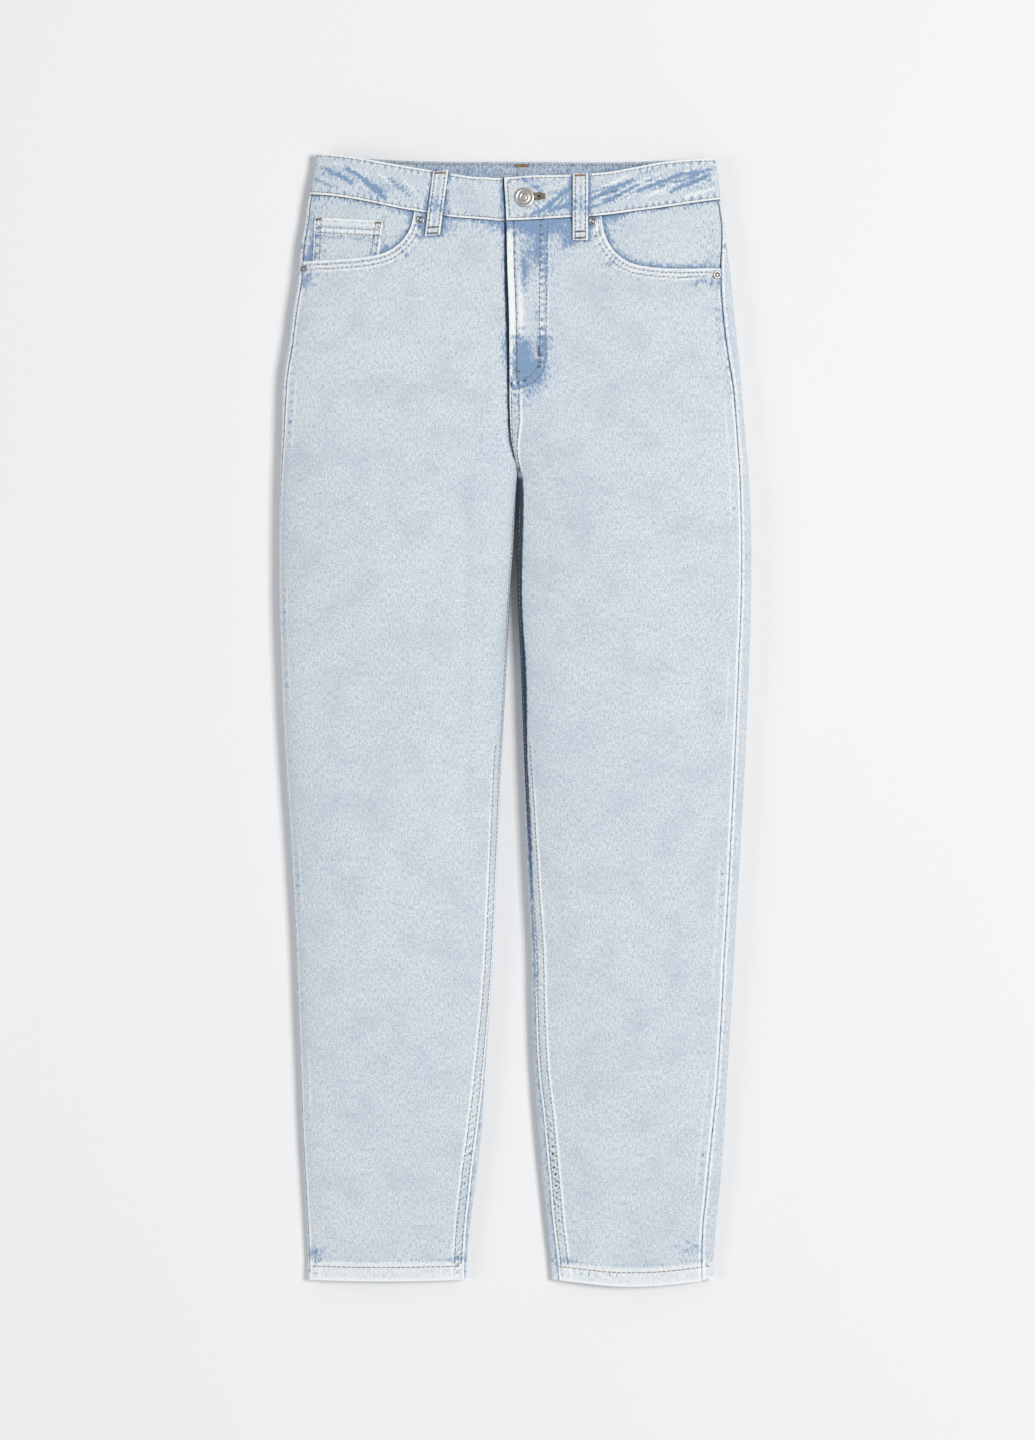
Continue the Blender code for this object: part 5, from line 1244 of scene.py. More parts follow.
def back_runs(side, y, share):
    """Running lengths of the back from the outseam round below to the inner end."""
    start = seam_run(side, y, "out") - GAP / 2
    stop = under_end(side, y)
    extra = top_end(side, y) - seam_run(side, y, "in")
    stop = np.where((y <= CROTCH_Y) & (extra > 0.2), stop - extra + GAP / 2, stop)
    return start + (stop - start) * share


def patch_lift(side, x, y, a):
    """The seat rises over the patch pockets that lie below it."""
    reach = np.abs((x - CENTRE_BACK_X) * side - PATCH_MIDDLE)
    across = 1.0 - step(reach, PATCH_SIDE / 2 + 7.0, PATCH_SIDE / 2 + 14.0)
    upward = step(PATCH_TOP + 12.0 - y, 0.0, 7.0) * step(y, PATCH_TIP - 14.0, PATCH_TIP - 7.0)
    return np.where((a < 0) & (y > 200.0), POCKET_LIFT * across * upward, 0.0)


BACK_STEP = 3.0
for side, name in ((-1, "back_right"), (1, "back_left")):
    plain = np.concatenate([panel_rows(362.0)[:7], np.arange(HEM_Y + 8.0, 362.0, BACK_STEP)])
    plain = np.unique(np.round(plain, 2))
    share = spread(np.full(len(plain) + 10, 230.0), SEAM_STEPS, SEAM_STEPS, 34)
    y = np.repeat(plain, share.shape[1]).reshape(len(plain), -1)
    climb = np.linspace(0.0, 1.0, 11)[1:, None]
    top = np.full((10, share.shape[1]), 390.0)
    for _ in range(4):
        x = spot(side, top, back_runs(side, top, share[len(plain):]))[0]
        top = plain[-1] + (blend(BAND_BACK, 3, x) - GAP / 2 - plain[-1]) * climb
    y = np.concatenate([y, top])
    a = back_runs(side, y, share)
    x = spot(side, y, a)[0]
    panel = shell(name + "_cloth", side, y, a, patch_lift(side, x, y, a), hem_thickness(y), back_detail,
                  DENIM, REVERSE)
    print(panel.name, "faces:", len(panel.data.polygons), "cut (m):", [round(v, 3) for v in CUTS[panel.name]])

for side, name in ((-1, "yoke_right"), (1, "yoke_left")):
    share = spread(np.full(30, 210.0), SEAM_STEPS, SEAM_STEPS, 34)
    climb = np.linspace(0.0, 1.0, 30)[:, None]
    y = np.full(share.shape, 420.0)
    for _ in range(5):
        x = spot(side, y, back_runs(side, y, share))[0]
        low, high = blend(BAND_BACK, 3, x) + GAP / 2, blend(BAND_BACK, 1, x) - GAP / 2
        y = low + (high - low) * climb
    piece = shell(name + "_cloth", side, y, back_runs(side, y, share), 0.0, WALL, yoke_detail, DENIM, REVERSE)
    print(piece.name, "faces:", len(piece.data.polygons))

# %% [markdown]
# ## Waistband
# Two long strips are joined at the centre back and folded over a stiffening, so the band is thicker than the
# panels and stands over them. The left end is the tab with the buttonhole; the right end runs on below it and
# carries the button. The eye and slit of the buttonhole are real cuts, because the button's shank goes through.

# %% Build the waistband
BAND_ROWS = 24


def band_grid(side):
    reach = TAB_REACH if side < 0 else -GAP / 2
    front_share = np.linspace(1.0, 0.0, 131)[None, :-1]
    back_share = np.linspace(0.0, 1.0, 110)[None, :]
    climb = np.linspace(0.0, 1.0, BAND_ROWS)
    climb = (0.55 * climb + 0.45 * (0.5 - 0.5 * np.cos(math.pi * climb)))[:, None]
    y = 450.0 + 36.0 * climb + 0.0 * np.concatenate([front_share, back_share], 1)
    for _ in range(5):
        count = front_share.shape[1]
        a_front = (top_end(side, y[:, :count]) + reach) * front_share
        a_back = under_end(side, y[:, count:]) * back_share
        a = np.concatenate([a_front, a_back], 1)
        x = spot(side, y, a)[0]
        front = np.arange(a.shape[1])[None, :] < count
        low = np.where(front, blend(BAND_FRONT, 1, x), blend(BAND_BACK, 1, x))
        high = np.where(front, blend(BAND_FRONT, 2, x), blend(BAND_BACK, 2, x))
        y = low + GAP / 2 + (high - low - GAP / 2) * climb
    return y, a, x


def band_depth(side, y, a, x):
    depth = -BAND_PROUD * step(a, -4.0, 8.0)
    if side < 0:
        inner = edges(side, y)[1]
        depth = depth + np.where(a > 0, (BAND_WALL + GAP + 0.1) * step(x, inner - 16.0, inner - 7.0), 0.0)
    return depth


BANDS = {}
for side, name in ((-1, "waistband_right"), (1, "waistband_left")):
    y, a, x = band_grid(side)
    BANDS[side] = shell(name + "_cloth", side, y, a, band_depth(side, y, a, x), BAND_WALL, band_detail,
                        DENIM, DENIM_BLUE)
    print(BANDS[side].name, "faces:", len(BANDS[side].data.polygons))

button_place = lay(1, np.float64(BUTTON_Y), run_at(1, BUTTON_Y, BUTTON_X))[0]
turns = [math.pi * k / 16 for k in range(32)]
cut_away(BANDS[1], [(BUTTON_X + 2.9 * math.cos(t), BUTTON_Y + 2.9 * math.sin(t)) for t in turns],
         button_place[2] - 12.0, button_place[2] + 12.0)
cut_away(BANDS[1], [(BUTTON_X + 2.0, BUTTON_Y - 0.9), (BUTTONHOLE_END, BUTTON_Y + 0.5),
                    (BUTTONHOLE_END, BUTTON_Y + 2.3), (BUTTON_X + 2.0, BUTTON_Y + 0.9)],
         button_place[2] - 12.0, button_place[2] + 12.0)
print("buttonhole cut at height (mm):", round(float(button_place[2]), 1))

# %% [markdown]
# ## Pocket bearers and coin pocket
# Behind each pocket mouth lies a shaped piece of the same denim, and on the right one sits the little fifth
# pocket with its own hem. They were sheltered from the wash, so they are bluer than the panels; near the
# mouths the blue and a thin dark line are partly painted shade.

# %% Build the pockets' insides
def bearer_depth(side, x, y, reach):
    depth = np.full(x.shape, WALL + GAP)
    if side < 0:
        below_waist = blend(BAND_FRONT, 1, x) - y
        return depth + (WALL + GAP) * step(below_waist, 0.0, 9.0) * step(reach, 0.0, 6.0) * step(-x, 96.0, 106.0)
    return depth + 0.9 * step(x, 130.0, 148.0) * step(-y, -412.0, -398.0)


for side, name, width in ((-1, "pocket_bearer_right", 112.0), (1, "pocket_bearer_left", 118.0)):
    reach = GAP + 0.2 + (width - GAP) * np.linspace(0.0, 1.0, 56)[None, :] ** 1.35
    climb = np.linspace(0.0, 1.0, 50)[:, None]
    y = 346.0 + 105.0 * climb + 0.0 * reach
    for _ in range(4):
        a = seam_run(side, y, "out") + reach
        x = spot(side, y, a)[0]
        y = 346.0 + (blend(BAND_FRONT, 1, x) - GAP / 2 - 346.0) * climb
    piece = shell(name + "_cloth", side, y, a, bearer_depth(side, x, y, reach + 0.0 * y), WALL, bearer_detail,
                  DENIM, REVERSE)
    print(piece.name, "faces:", len(piece.data.polygons))

t = np.linspace(0.0, 1.0, 46)[:, None]
s = np.linspace(0.0, 1.0, 44)[None, :]
low_x = COIN_LOW[0][0] + (COIN_LOW[1][0] - COIN_LOW[0][0]) * s
top_x = COIN_TOP[0][0] + (COIN_TOP[1][0] - COIN_TOP[0][0]) * s
top_y = COIN_TOP[0][1] + (COIN_TOP[1][1] - COIN_TOP[0][1]) * s
x = low_x + (top_x - low_x) * t
y = COIN_LOW[0][1] + (top_y - COIN_LOW[0][1]) * t
coin = shell("coin_pocket_cloth", -1, y, run_at(-1, y, x), WALL + GAP + 0.05, WALL - 0.1, coin_detail,
             DENIM, REVERSE)
print(coin.name, "faces:", len(coin.data.polygons))

# %% [markdown]
# ## Belt loops
# A belt loop is a strip of denim folded in three and flattened by a double-needle machine, then bartacked at
# both ends. The front two stand over the waistband; the back three lie underneath, between band and table.

# %% Build the loops and the patch pockets of the back
def loop_relief(across, along, start):
    """Height, fading and indigo over a loop: rolled edges and a hollow between the two rows."""
    edge = np.abs(across)
    tuck = ripple(along, 6.0, start)
    height = -0.7 * bell(edge, LOOP_WIDTH / 2, 0.7) + 0.14 * tuck * bell(edge, 4.6, 2.0)
    height = height - 0.25 * bell(edge, 0.0, 2.6) - 0.2 * bell(edge, LOOP_WIDTH / 2 - 2.2, 0.6)
    fade = 1.0 * bell(edge, LOOP_WIDTH / 2 - 0.8, 0.9) + 0.5 * bell(edge, 2.6, 1.2)
    deep = 0.25 * bell(edge, 0.0, 1.4) + 0.5 * step(-tuck, -0.2, 0.8) * bell(edge, 4.3, 1.0)
    # a bluer band around y 444, a little above where the front loops step down off the waistband
    deep = deep + 0.4 * bell(along, 444.0, 9.0) * step(along, 380.0, 400.0)
    return height, fade, deep


def front_loop_place(name, t, across):
    """y, a, x and depth on a front loop; t from 0 at its lower end to 1 at its top, across in mm."""
    top_x, low_x, low_y = FRONT_LOOPS[name]
    side = -1 if top_x < 0 else 1
    top_y = float(blend(BAND_FRONT, 2, top_x)) + 0.6
    x = low_x + (top_x - low_x) * t + across
    y = low_y + (top_y - low_y) * t + across * (low_x - top_x) / -60.0
    over = step(y - blend(BAND_FRONT, 1, x), -8.0, -1.5)
    depth = -(GAP + 0.15) - (BAND_PROUD + 0.1) * over - LOOP_WALL
    return side, y, run_at(side, y, x), x, depth


LOOP_ROWS = 60
for name, (top_x, low_x, low_y) in FRONT_LOOPS.items():
    t = np.linspace(0.0, 1.0, LOOP_ROWS)[:, None]
    across = LOOP_WIDTH * (np.linspace(0.0, 1.0, 19)[None, :] - 0.5)
    side, y, a, x, depth = front_loop_place(name, t, across)
    relief, fade, deep = loop_relief(across + 0 * t, y, 0.3 + side)
    ends = bell(t, 0.0, 0.05) + bell(t, 1.0, 0.05)
    relief = relief - 0.5 * (bell(t, 0.0, 0.02) + bell(t, 1.0, 0.02)) - 0.15 * ends
    outer, normal = lay(side, y, a, depth)
    inner = outer - normal * LOOP_WALL
    measure_cut(name + "_cloth", outer)
    piece = shell_from_sides(name + "_cloth", outer + normal * relief[..., None], inner,
                             (a + 400.0, y), (fade, deep + 0.2 * ends), DENIM, DENIM)
    print(piece.name, "faces:", len(piece.data.polygons))


def flat_piece(name, x, y, thick, relief, fade, deep):
    """Cloth lying on the table, seen from below: relief lifts the lower side off the table."""
    low = np.stack([x, y, 0.02 + np.clip(-relief, 0.0, 0.9)], -1)
    high = np.stack([x, y, np.full(x.shape, thick)], -1)
    measure_cut(name, high)
    return shell_from_sides(name, low, high, (x + 900.0, y), (fade, deep), DENIM, REVERSE)


for name, middle in BACK_LOOPS.items():
    t = np.linspace(0.0, 1.0, LOOP_ROWS)[:, None]
    across = LOOP_WIDTH * (np.linspace(0.0, 1.0, 19)[None, :] - 0.5)
    y = BACK_LOOP_LOW + (BACK_LOOP_HIGH - 1.6 - BACK_LOOP_LOW) * t + 0 * across
    relief, fade, deep = loop_relief(across + 0 * t, y, 1.7 + middle)
    relief = relief - 0.5 * (bell(t, 0.0, 0.02) + bell(t, 1.0, 0.02))
    piece = flat_piece(name + "_cloth", middle + across + 0 * t, y, LOOP_WALL, relief, fade, deep)
    print(piece.name, "faces:", len(piece.data.polygons))


def patch_place(side, s, t):
    """x and y on a patch pocket; s across from 0 to 1, t up from its pointed edge to its hem."""
    half = PATCH_SIDE / 2
    u = 2.0 * s - 1.0
    low = PATCH_TIP + (PATCH_LOW - PATCH_TIP) * np.abs(u)
    y = low + (PATCH_TOP - low) * t
    narrow = 6.0 * np.clip((PATCH_TOP - y) / (PATCH_TOP - PATCH_LOW), 0.0, 1.0)
    return CENTRE_BACK_X + side * PATCH_MIDDLE + u * (half - narrow), y


for side, name in ((-1, "back_pocket_right"), (1, "back_pocket_left")):
    s = np.linspace(0.0, 1.0, 71)[None, :]
    t = np.linspace(0.0, 1.0, 66)[:, None]
    x, y = patch_place(side, s, t)
    half = PATCH_SIDE / 2
    from_side = (1.0 - np.abs(2.0 * s - 1.0)) * half + 0 * t
    from_top = PATCH_TOP - y
    from_low = (y - PATCH_TIP - (PATCH_LOW - PATCH_TIP) * np.abs(2.0 * s - 1.0)) * 0.94
    rim = np.minimum(from_side, from_low)
    tuck = ripple(x + y, 7.2, 1.0 + side)
    relief = 0.16 * tuck * bell(rim, 4.6, 3.0) - 0.16 + 0.1 * tuck * bell(from_top, 8.0, 6.0)
    relief = relief - 0.3 * (bell(rim, 0.0, 0.8) + bell(from_top, 0.0, 0.8))
    fade = 0.6 * (bell(rim, 0.8, 1.2) + bell(from_top, 0.8, 1.2)) + 0.35 * bell(from_top, 16.0, 1.4)
    deep = 0.5 * step(-tuck, 0.0, 0.8) * bell(rim, 4.8, 2.0) + 0.4 * step(-tuck, 0.0, 0.8) * bell(from_top, 9.0, 4.0)
    piece = flat_piece(name + "_cloth", x, y, WALL, relief, fade, deep)
    print(piece.name, "faces:", len(piece.data.polygons))

# %% [markdown]
# ## Fly
# Under the left front's folded edge lie the closed zip on its tape and, below it, the fly shield. They are
# hidden while the fly is closed, but they are there, so that nobody looks through the waist into a gap.

# %% Build the fly's shield and zip
def fly_strip(name, x_from, x_to, y_from, y_top, depth, thick, finish, columns):
    t = np.linspace(0.0, 1.0, 60)[:, None]
    y = y_from + (y_top - y_from) * t + 0.0 * np.linspace(0.0, 1.0, columns)[None, :]
    x = edges(1, y)[1] + x_from + (x_to - x_from) * np.linspace(0.0, 1.0, columns)[None, :]
    return shell(name, 1, y, run_at(1, y, x), depth, thick, plain_detail, finish, REVERSE)


ZIP_DEPTH, ZIP_WALL = 2 * WALL + 2 * GAP + 0.15, 1.2
SHIELD_DEPTH = 3 * WALL + 3 * GAP + 0.2
ZIP_X, ZIP_LOW, ZIP_TOP = 16.0, 298.0, 424.0
fly_strip("fly_zip_tape", 2.0, 30.0, 292.0, 427.0, ZIP_DEPTH + 0.35, ZIP_WALL - 0.35, TAPE, 14)
fly_strip("fly_shield_cloth", -4.0, 38.0, 286.0, 428.0, SHIELD_DEPTH, 1.3, DENIM_BLUE, 20)


def block(corner_low, corner_high):
    """Eight corners and six faces of one small block, in its own directions."""
    xs, ys, zs = zip(corner_low, corner_high)
    corners = [(x, y, z) for z in zs for y in ys for x in xs]
    return corners, [(0, 2, 3, 1), (4, 5, 7, 6), (0, 1, 5, 4), (2, 6, 7, 3), (0, 4, 6, 2), (1, 3, 7, 5)]


def blocks_on_cloth(name, side, places, depth, finish):
    """Small blocks set on a layer; places holds x, y and the block's two corners."""
    points, faces = [], []
    for x, y, low, high in places:
        at, normal = lay(side, np.float64(y), run_at(side, y, x), depth)
        right = np.cross((0.0, 1.0, 0.0), normal)
        right /= np.linalg.norm(right)
        up = np.cross(normal, right)
        corners, sides = block(low, high)
        base = len(points)
        points += [at + right * c[0] + up * c[1] + normal * c[2] for c in corners]
        faces += [tuple(base + i for i in face) for face in sides]
    points = np.array(points)
    wash_and_shade = np.tile((0.0, 0.2, 0.0, 1.0), (len(points), 1))
    piece = mesh_object(name, points, faces, points[:, :2] * MM, wash_and_shade, [finish], np.zeros(len(faces)), False)
    soften = piece.modifiers.new("worn_corners", "BEVEL")
    soften.width = 0.12 * MM
    soften.segments = 2
    return piece


# teeth every 1.9 mm, left and right in turn, as on a number 4 metal zip
teeth = []
for i, y in enumerate(np.arange(ZIP_LOW, ZIP_TOP - 8.0, 0.95)):
    shift = 0.9 if i % 2 else -0.9
    teeth.append((float(edges(1, y)[1]) + ZIP_X, float(y), (shift - 1.5, -0.4, 0.0), (shift + 1.5, 0.4, 0.34)))
ZIP_TEETH = blocks_on_cloth("fly_zip_teeth", 1, teeth, ZIP_DEPTH + 0.33, BRASS)
slider_x = float(edges(1, ZIP_TOP - 6.0)[1]) + ZIP_X
ZIP_SLIDER = blocks_on_cloth("fly_zip_slider", 1, [
    (slider_x, ZIP_TOP - 6.0, (-3.4, -4.0, 0.0), (3.4, 4.0, 0.3)),
    (slider_x, ZIP_TOP - 6.0, (-0.9, -3.0, 0.3), (0.9, 3.0, 0.5)),
    (slider_x, ZIP_TOP - 18.0, (-2.2, -7.0, 0.36), (2.2, 9.0, 0.56))], ZIP_DEPTH + 0.33, BRASS)
print("zip teeth:", len(teeth))

# %% [markdown]
# ## Shank button and rivets
# Both are stamped and turned parts, so a profile spun round an axis gives them. The button shows a rolled rim,
# a sunk ring and a low middle, with no lettering. The rivets show a bright rim, a dark ring and a bright nail
# head in the middle. The indigo channel of wash_and_shade is used here for the dull metal of the rings.

# %% Turn the metal parts
def turned(name, profile, x, y, side, base, segments=64, extra=0.0):
    """Spin a profile of radius, height and dullness round the cloth's outward direction."""
    at, normal = lay(side, np.float64(y), run_at(side, y, x), -base)
    right = np.cross((0.0, 1.0, 0.0), normal)
    right /= np.linalg.norm(right)
    up = np.cross(normal, right)
    angles = np.linspace(0.0, 2 * math.pi, segments, endpoint=False)
    spokes = right * np.cos(angles)[:, None] + up * np.sin(angles)[:, None]
    points = [at + normal * profile[0][1]]
    dull = [profile[0][2]]
    for radius, height, dark in profile[1:-1]:
        points += list(at + spokes * radius + normal * height)
        dull += [dark] * segments
    points.append(at + normal * profile[-1][1])
    dull.append(profile[-1][2])
    rings = len(profile) - 2
    faces = [(0, 1 + (k + 1) % segments, 1 + k) for k in range(segments)]
    for r in range(rings - 1):
        low = 1 + r * segments
        faces += [(low + k, low + (k + 1) % segments, low + segments + (k + 1) % segments, low + segments + k)
                  for k in range(segments)]
    last = 1 + (rings - 1) * segments
    faces += [(last + k, last + (k + 1) % segments, len(points) - 1) for k in range(segments)]
    points = np.array(points)
    wash_and_shade = np.stack([np.zeros(len(dull)), np.array(dull), np.zeros(len(dull)), np.ones(len(dull))], 1)
    return mesh_object(name, points, faces, points[:, :2] * MM, wash_and_shade, [NICKEL], np.zeros(len(faces)))


def fine_profile(corners, steps=4):
    """Round the corners of a profile by corner cutting, keeping its ends."""
    for _ in range(steps - 2):
        fresh = [corners[0]]
        for p, q in zip(corners, corners[1:]):
            fresh.append(tuple(0.75 * u + 0.25 * v for u, v in zip(p, q)))
            fresh.append(tuple(0.25 * u + 0.75 * v for u, v in zip(p, q)))
        corners = fresh + [corners[-1]]
    return corners


SHANK = BAND_WALL + GAP
BUTTON_FORM = [(0.0, -SHANK, 0.3), (2.2, -SHANK, 0.3), (2.2, 0.0, 0.5), (7.4, 0.0, 0.5), (8.3, 0.4, 0.1),
               (8.55, 1.0, 0.0), (8.35, 1.45, 0.0), (7.7, 1.66, 0.0), (6.6, 1.72, 0.0), (6.1, 1.5, 0.5),
               (5.5, 1.52, 0.1), (4.5, 1.6, 0.0), (3.9, 1.74, 0.0), (3.4, 1.72, 0.1), (3.0, 1.46, 0.55),
               (2.4, 1.46, 0.1), (1.6, 1.6, 0.0), (0.0, 1.66, 0.0)]
RIVET_FORM = [(0.0, 0.0, 0.8), (2.9, 0.0, 0.9), (3.45, 0.3, 0.7), (3.35, 0.7, 0.45), (2.75, 0.92, 0.3),
              (2.2, 0.78, 0.7), (1.75, 0.42, 1.0), (1.4, 0.4, 1.0), (1.1, 0.7, 0.3), (0.6, 0.9, 0.0),
              (0.0, 0.94, 0.0)]
METAL = {"button": turned("button_metal", fine_profile(BUTTON_FORM), BUTTON_X, BUTTON_Y, 1, BAND_PROUD + GAP, 96)}
for name, (x, y) in RIVETS.items():
    stand = GAP + (0.5 if name == "rivet_left_outer" else 0.2)
    METAL[name] = turned(name + "_metal", fine_profile(RIVET_FORM), x, y, -1 if x < 0 else 1, stand, 48)
print("metal parts:", sorted(METAL))

# %% [markdown]
# ## Topstitching
# Every visible seam is held by rows of thick thread, about 2.5 to 3 stitches per centimetre. Each stitch is its
# own small loop of thread here, laid along the seam on the cloth and dipping into it at both ends, so it
# catches light and casts a shadow as thread does. Rows are walked by running length, never by image.

# %% Lay stitches along a line
STITCH_PITCH, STITCH_LENGTH, THREAD_WIDTH = 3.9, 3.0, 0.72
SEWN = {"grey": [], "tan": []}
rng = np.random.default_rng(11)


def sew(thread, points, normals, pitch=STITCH_PITCH, length=STITCH_LENGTH, width=THREAD_WIDTH, skip=0.0):
    """One row of stitches along points on the cloth."""
    steps = np.linalg.norm(np.diff(points, axis=0), axis=1)
    run = np.concatenate([[0.0], np.cumsum(steps)])
    middles = np.arange(pitch * 0.6, run[-1] - pitch * 0.4, pitch)
    middles = middles + rng.uniform(-0.18, 0.18, len(middles))
    middles = middles[rng.random(len(middles)) >= skip]
    for sign in (-1, 1):
        ends = np.stack([np.interp(middles + sign * length / 2, run, points[:, k]) for k in range(3)], 1)
        if sign < 0:
            first = ends
    normal = np.stack([np.interp(middles, run, normals[:, k]) for k in range(3)], 1)
    normal /= np.linalg.norm(normal, axis=1, keepdims=True)
    SEWN[thread].append((first, ends, normal, np.full(len(middles), width)))


def bar(thread, centre, normal, direction, length, width=2.2, pitch=0.62):
    """A bartack: a dense zigzag of short stitches across a line."""
    centre, normal = np.asarray(centre, float), np.asarray(normal, float)
    along = np.asarray(direction, float)
    along = along - normal * along.dot(normal)
    along /= np.linalg.norm(along)
    across = np.cross(normal, along)
    places = np.arange(-length / 2, length / 2 + 1e-6, pitch)
    middle = centre + places[:, None] * along + rng.uniform(-0.12, 0.12, (len(places), 1)) * across
    slant = along * pitch * 0.35
    first = middle - across * width / 2 - slant
    last = middle + across * width / 2 + slant
    SEWN[thread].append((first, last, np.tile(normal, (len(places), 1)), np.full(len(places), 0.66)))


def row_by_run(thread, side, y, a, depth, detail, **how):
    points, normals = lay(side, y, a, depth, detail)
    sew(thread, points + normals * 0.12, normals, **how)


def row_in_plan(thread, side, line, depth, detail, **how):
    """A row given in plan; the line is walked every half millimetre."""
    line = np.asarray(line, float)
    steps = np.hypot(*np.diff(line, axis=0).T)
    run = np.concatenate([[0.0], np.cumsum(steps)])
    fine = np.arange(0.0, run[-1], 0.5)
    x, y = np.interp(fine, run, line[:, 0]), np.interp(fine, run, line[:, 1])
    row_by_run(thread, side, y, run_at(side, y, x), depth, detail, **how)


def bar_in_plan(thread, side, x, y, depth, detail, direction, length, width=2.2):
    point, normal = lay(side, np.array([y]), run_at(side, np.array([y]), np.array([x])), depth, detail)
    bar(thread, point[0] + normal[0] * 0.2, normal[0], (direction[0], direction[1], 0.0), length, width)


def beside(line, distance):
    """The line moved sideways in plan, to its left when distance is positive."""
    line = np.asarray(line, float)
    way = np.gradient(line, axis=0)
    way /= np.linalg.norm(way, axis=1, keepdims=True)
    return line + np.stack([-way[:, 1], way[:, 0]], 1) * distance


# %% Sew the fronts
for side in (-1, 1):
    leg_y = np.arange(HEM_Y + 13.0, 188.0, 0.5)
    for inset, top in ((2.6, 188.0), (8.7, -20.0)):
        rising = leg_y[leg_y < top]
        row_by_run("grey", side, rising, seam_run(side, rising, "in") - inset, 0.0, front_detail)
    hem_x = np.linspace(*[edges(side, np.float64(HEM_Y))[k] for k in (0, 1)], 400)
    hem_x = hem_x[(np.abs(hem_x - hem_x[0]) > 3.0) & (np.abs(hem_x - hem_x[-1]) > 3.5)]
    hem_y = HEM_Y + HEM_HEIGHT - hem_sag(side, hem_x)
    row_by_run("tan", side, hem_y, run_at(side, hem_y, hem_x), 0.0, front_detail, pitch=4.3, length=3.5, width=0.8)
    mouth = np.array(MOUTHS[side])
    keep = (blend(BAND_FRONT, 1, mouth[:, 0]) - mouth[:, 1] > 1.0)
    outer_x = edges(side, mouth[:, 1])[0]
    keep &= (outer_x - mouth[:, 0]) * side > 3.0
    mouth = mouth[keep]
    for inset in (3.5, 7.4):
        row_in_plan("grey", side, beside(mouth, -inset if side > 0 else inset), 0.0, front_detail)

fly_edge_y = np.arange(294.0, 430.0, 0.5)
row_by_run("grey", 1, fly_edge_y, run_at(1, fly_edge_y, edges(1, fly_edge_y)[1] + 6.3), 0.0, front_detail)
fly_curve = np.array(round_curve([tuple(p) for p in FLY_ROW[:, ::-1]], 2))
row_in_plan("grey", 1, fly_curve[2:], 0.0, front_detail)
row_in_plan("grey", 1, beside(fly_curve, 6.0)[5:-1], 0.0, front_detail)
crotch_y = np.arange(216.0, 284.0, 0.5)
for inset in (1.6, 8.0):
    narrow = 0.35 + 0.65 * step(crotch_y, 222.0, 262.0)
    row_by_run("grey", 1, crotch_y, run_at(1, crotch_y, edges(1, crotch_y)[1] + inset * narrow), 0.0, front_detail)
bar_in_plan("grey", 1, 20.8, 318.2, 0.0, front_detail, (0, 1), 7.0)
bar_in_plan("grey", 1, 0.6, 301.6, 0.0, front_detail, (1, -0.3), 8.0)

# %% Sew the coin pocket and the back
coin_depth = WALL + GAP + 0.05
coin_line = [(COIN_TOP[0][0] + 2.2, COIN_TOP[0][1]), (COIN_TOP[1][0] - 2.2, COIN_TOP[1][1])]
for drop in (8.5, 13.5):
    row_in_plan("grey", -1, [(x, y - drop) for x, y in coin_line], coin_depth, coin_detail, pitch=3.2, length=2.5)
for inset in (2.2, 6.4):
    for corner, foot, way in ((COIN_TOP[0], COIN_LOW[0], 1), (COIN_TOP[1], COIN_LOW[1], -1)):
        row_in_plan("grey", -1, [(corner[0] + way * inset, corner[1] - 1.5), (foot[0] + way * inset, foot[1] + 12.0)],
                    coin_depth, coin_detail, pitch=3.2, length=2.5)
for x, y in (COIN_TOP[0], COIN_TOP[1]):
    bar_in_plan("grey", -1, x + (4.2 if x < -150 else -4.2), y - 2.0, coin_depth, coin_detail, (1, 0), 5.5, 1.8)

for side in (-1, 1):
    seat_y = np.arange(222.0, 366.0, 0.5)
    if side > 0:
        for inset in (2.5, 8.7):
            row_by_run("grey", side, seat_y, under_end(side, seat_y) + inset, 0.0, back_detail)
    hem_y = np.full(360, HEM_Y + HEM_HEIGHT)
    start, stop = seam_run(side, hem_y, "out") - 3.0, under_end(side, hem_y) + 3.0
    row_by_run("tan", side, hem_y, start + (stop - start) * np.linspace(0, 1, 360), 0.0, back_detail,
               pitch=4.3, length=3.5, width=0.8)
    s = np.linspace(0.02, 0.98, 420)
    for rise in (2.5, 8.7):
        y = np.full(420, 395.0)
        for _ in range(4):
            a = back_runs(side, y, s)
            y = blend(BAND_BACK, 3, spot(side, y, a)[0]) + rise
        row_by_run("grey", side, y, back_runs(side, y, s), 0.0, yoke_detail)

# %% Sew the waistband, its buttonhole and the loops
for side in (-1, 1):
    first = 3.0 if side > 0 else -TAB_REACH + 8.0
    for column, rise in ((1, 2.3), (2, -2.3)):
        share = np.linspace(0.0, 1.0, 700)
        y = np.full(700, 460.0)
        for _ in range(5):
            a = (top_end(side, y) - first) * (1.0 - share)
            x = spot(side, y, a)[0]
            y = blend(BAND_FRONT, column, x) + rise
        shown = slice(0, 700) if side > 0 else slice(60, 700)
        row_by_run("grey", side, y[shown], a[shown], band_depth(side, y, a, x)[shown], band_detail)
        y = np.full(700, 460.0)
        for _ in range(5):
            a = under_end(side, y) * share
            x = spot(side, y, a)[0]
            y = blend(BAND_BACK, column, x) + rise
        row_by_run("grey", side, y, a, band_depth(side, y, a, x), band_detail)
tab_y = np.arange(434.5, 466.5, 0.5)
tab_a = run_at(1, tab_y, edges(1, tab_y)[1] + 3.0)
row_by_run("grey", 1, tab_y, tab_a, -BAND_PROUD, band_detail)

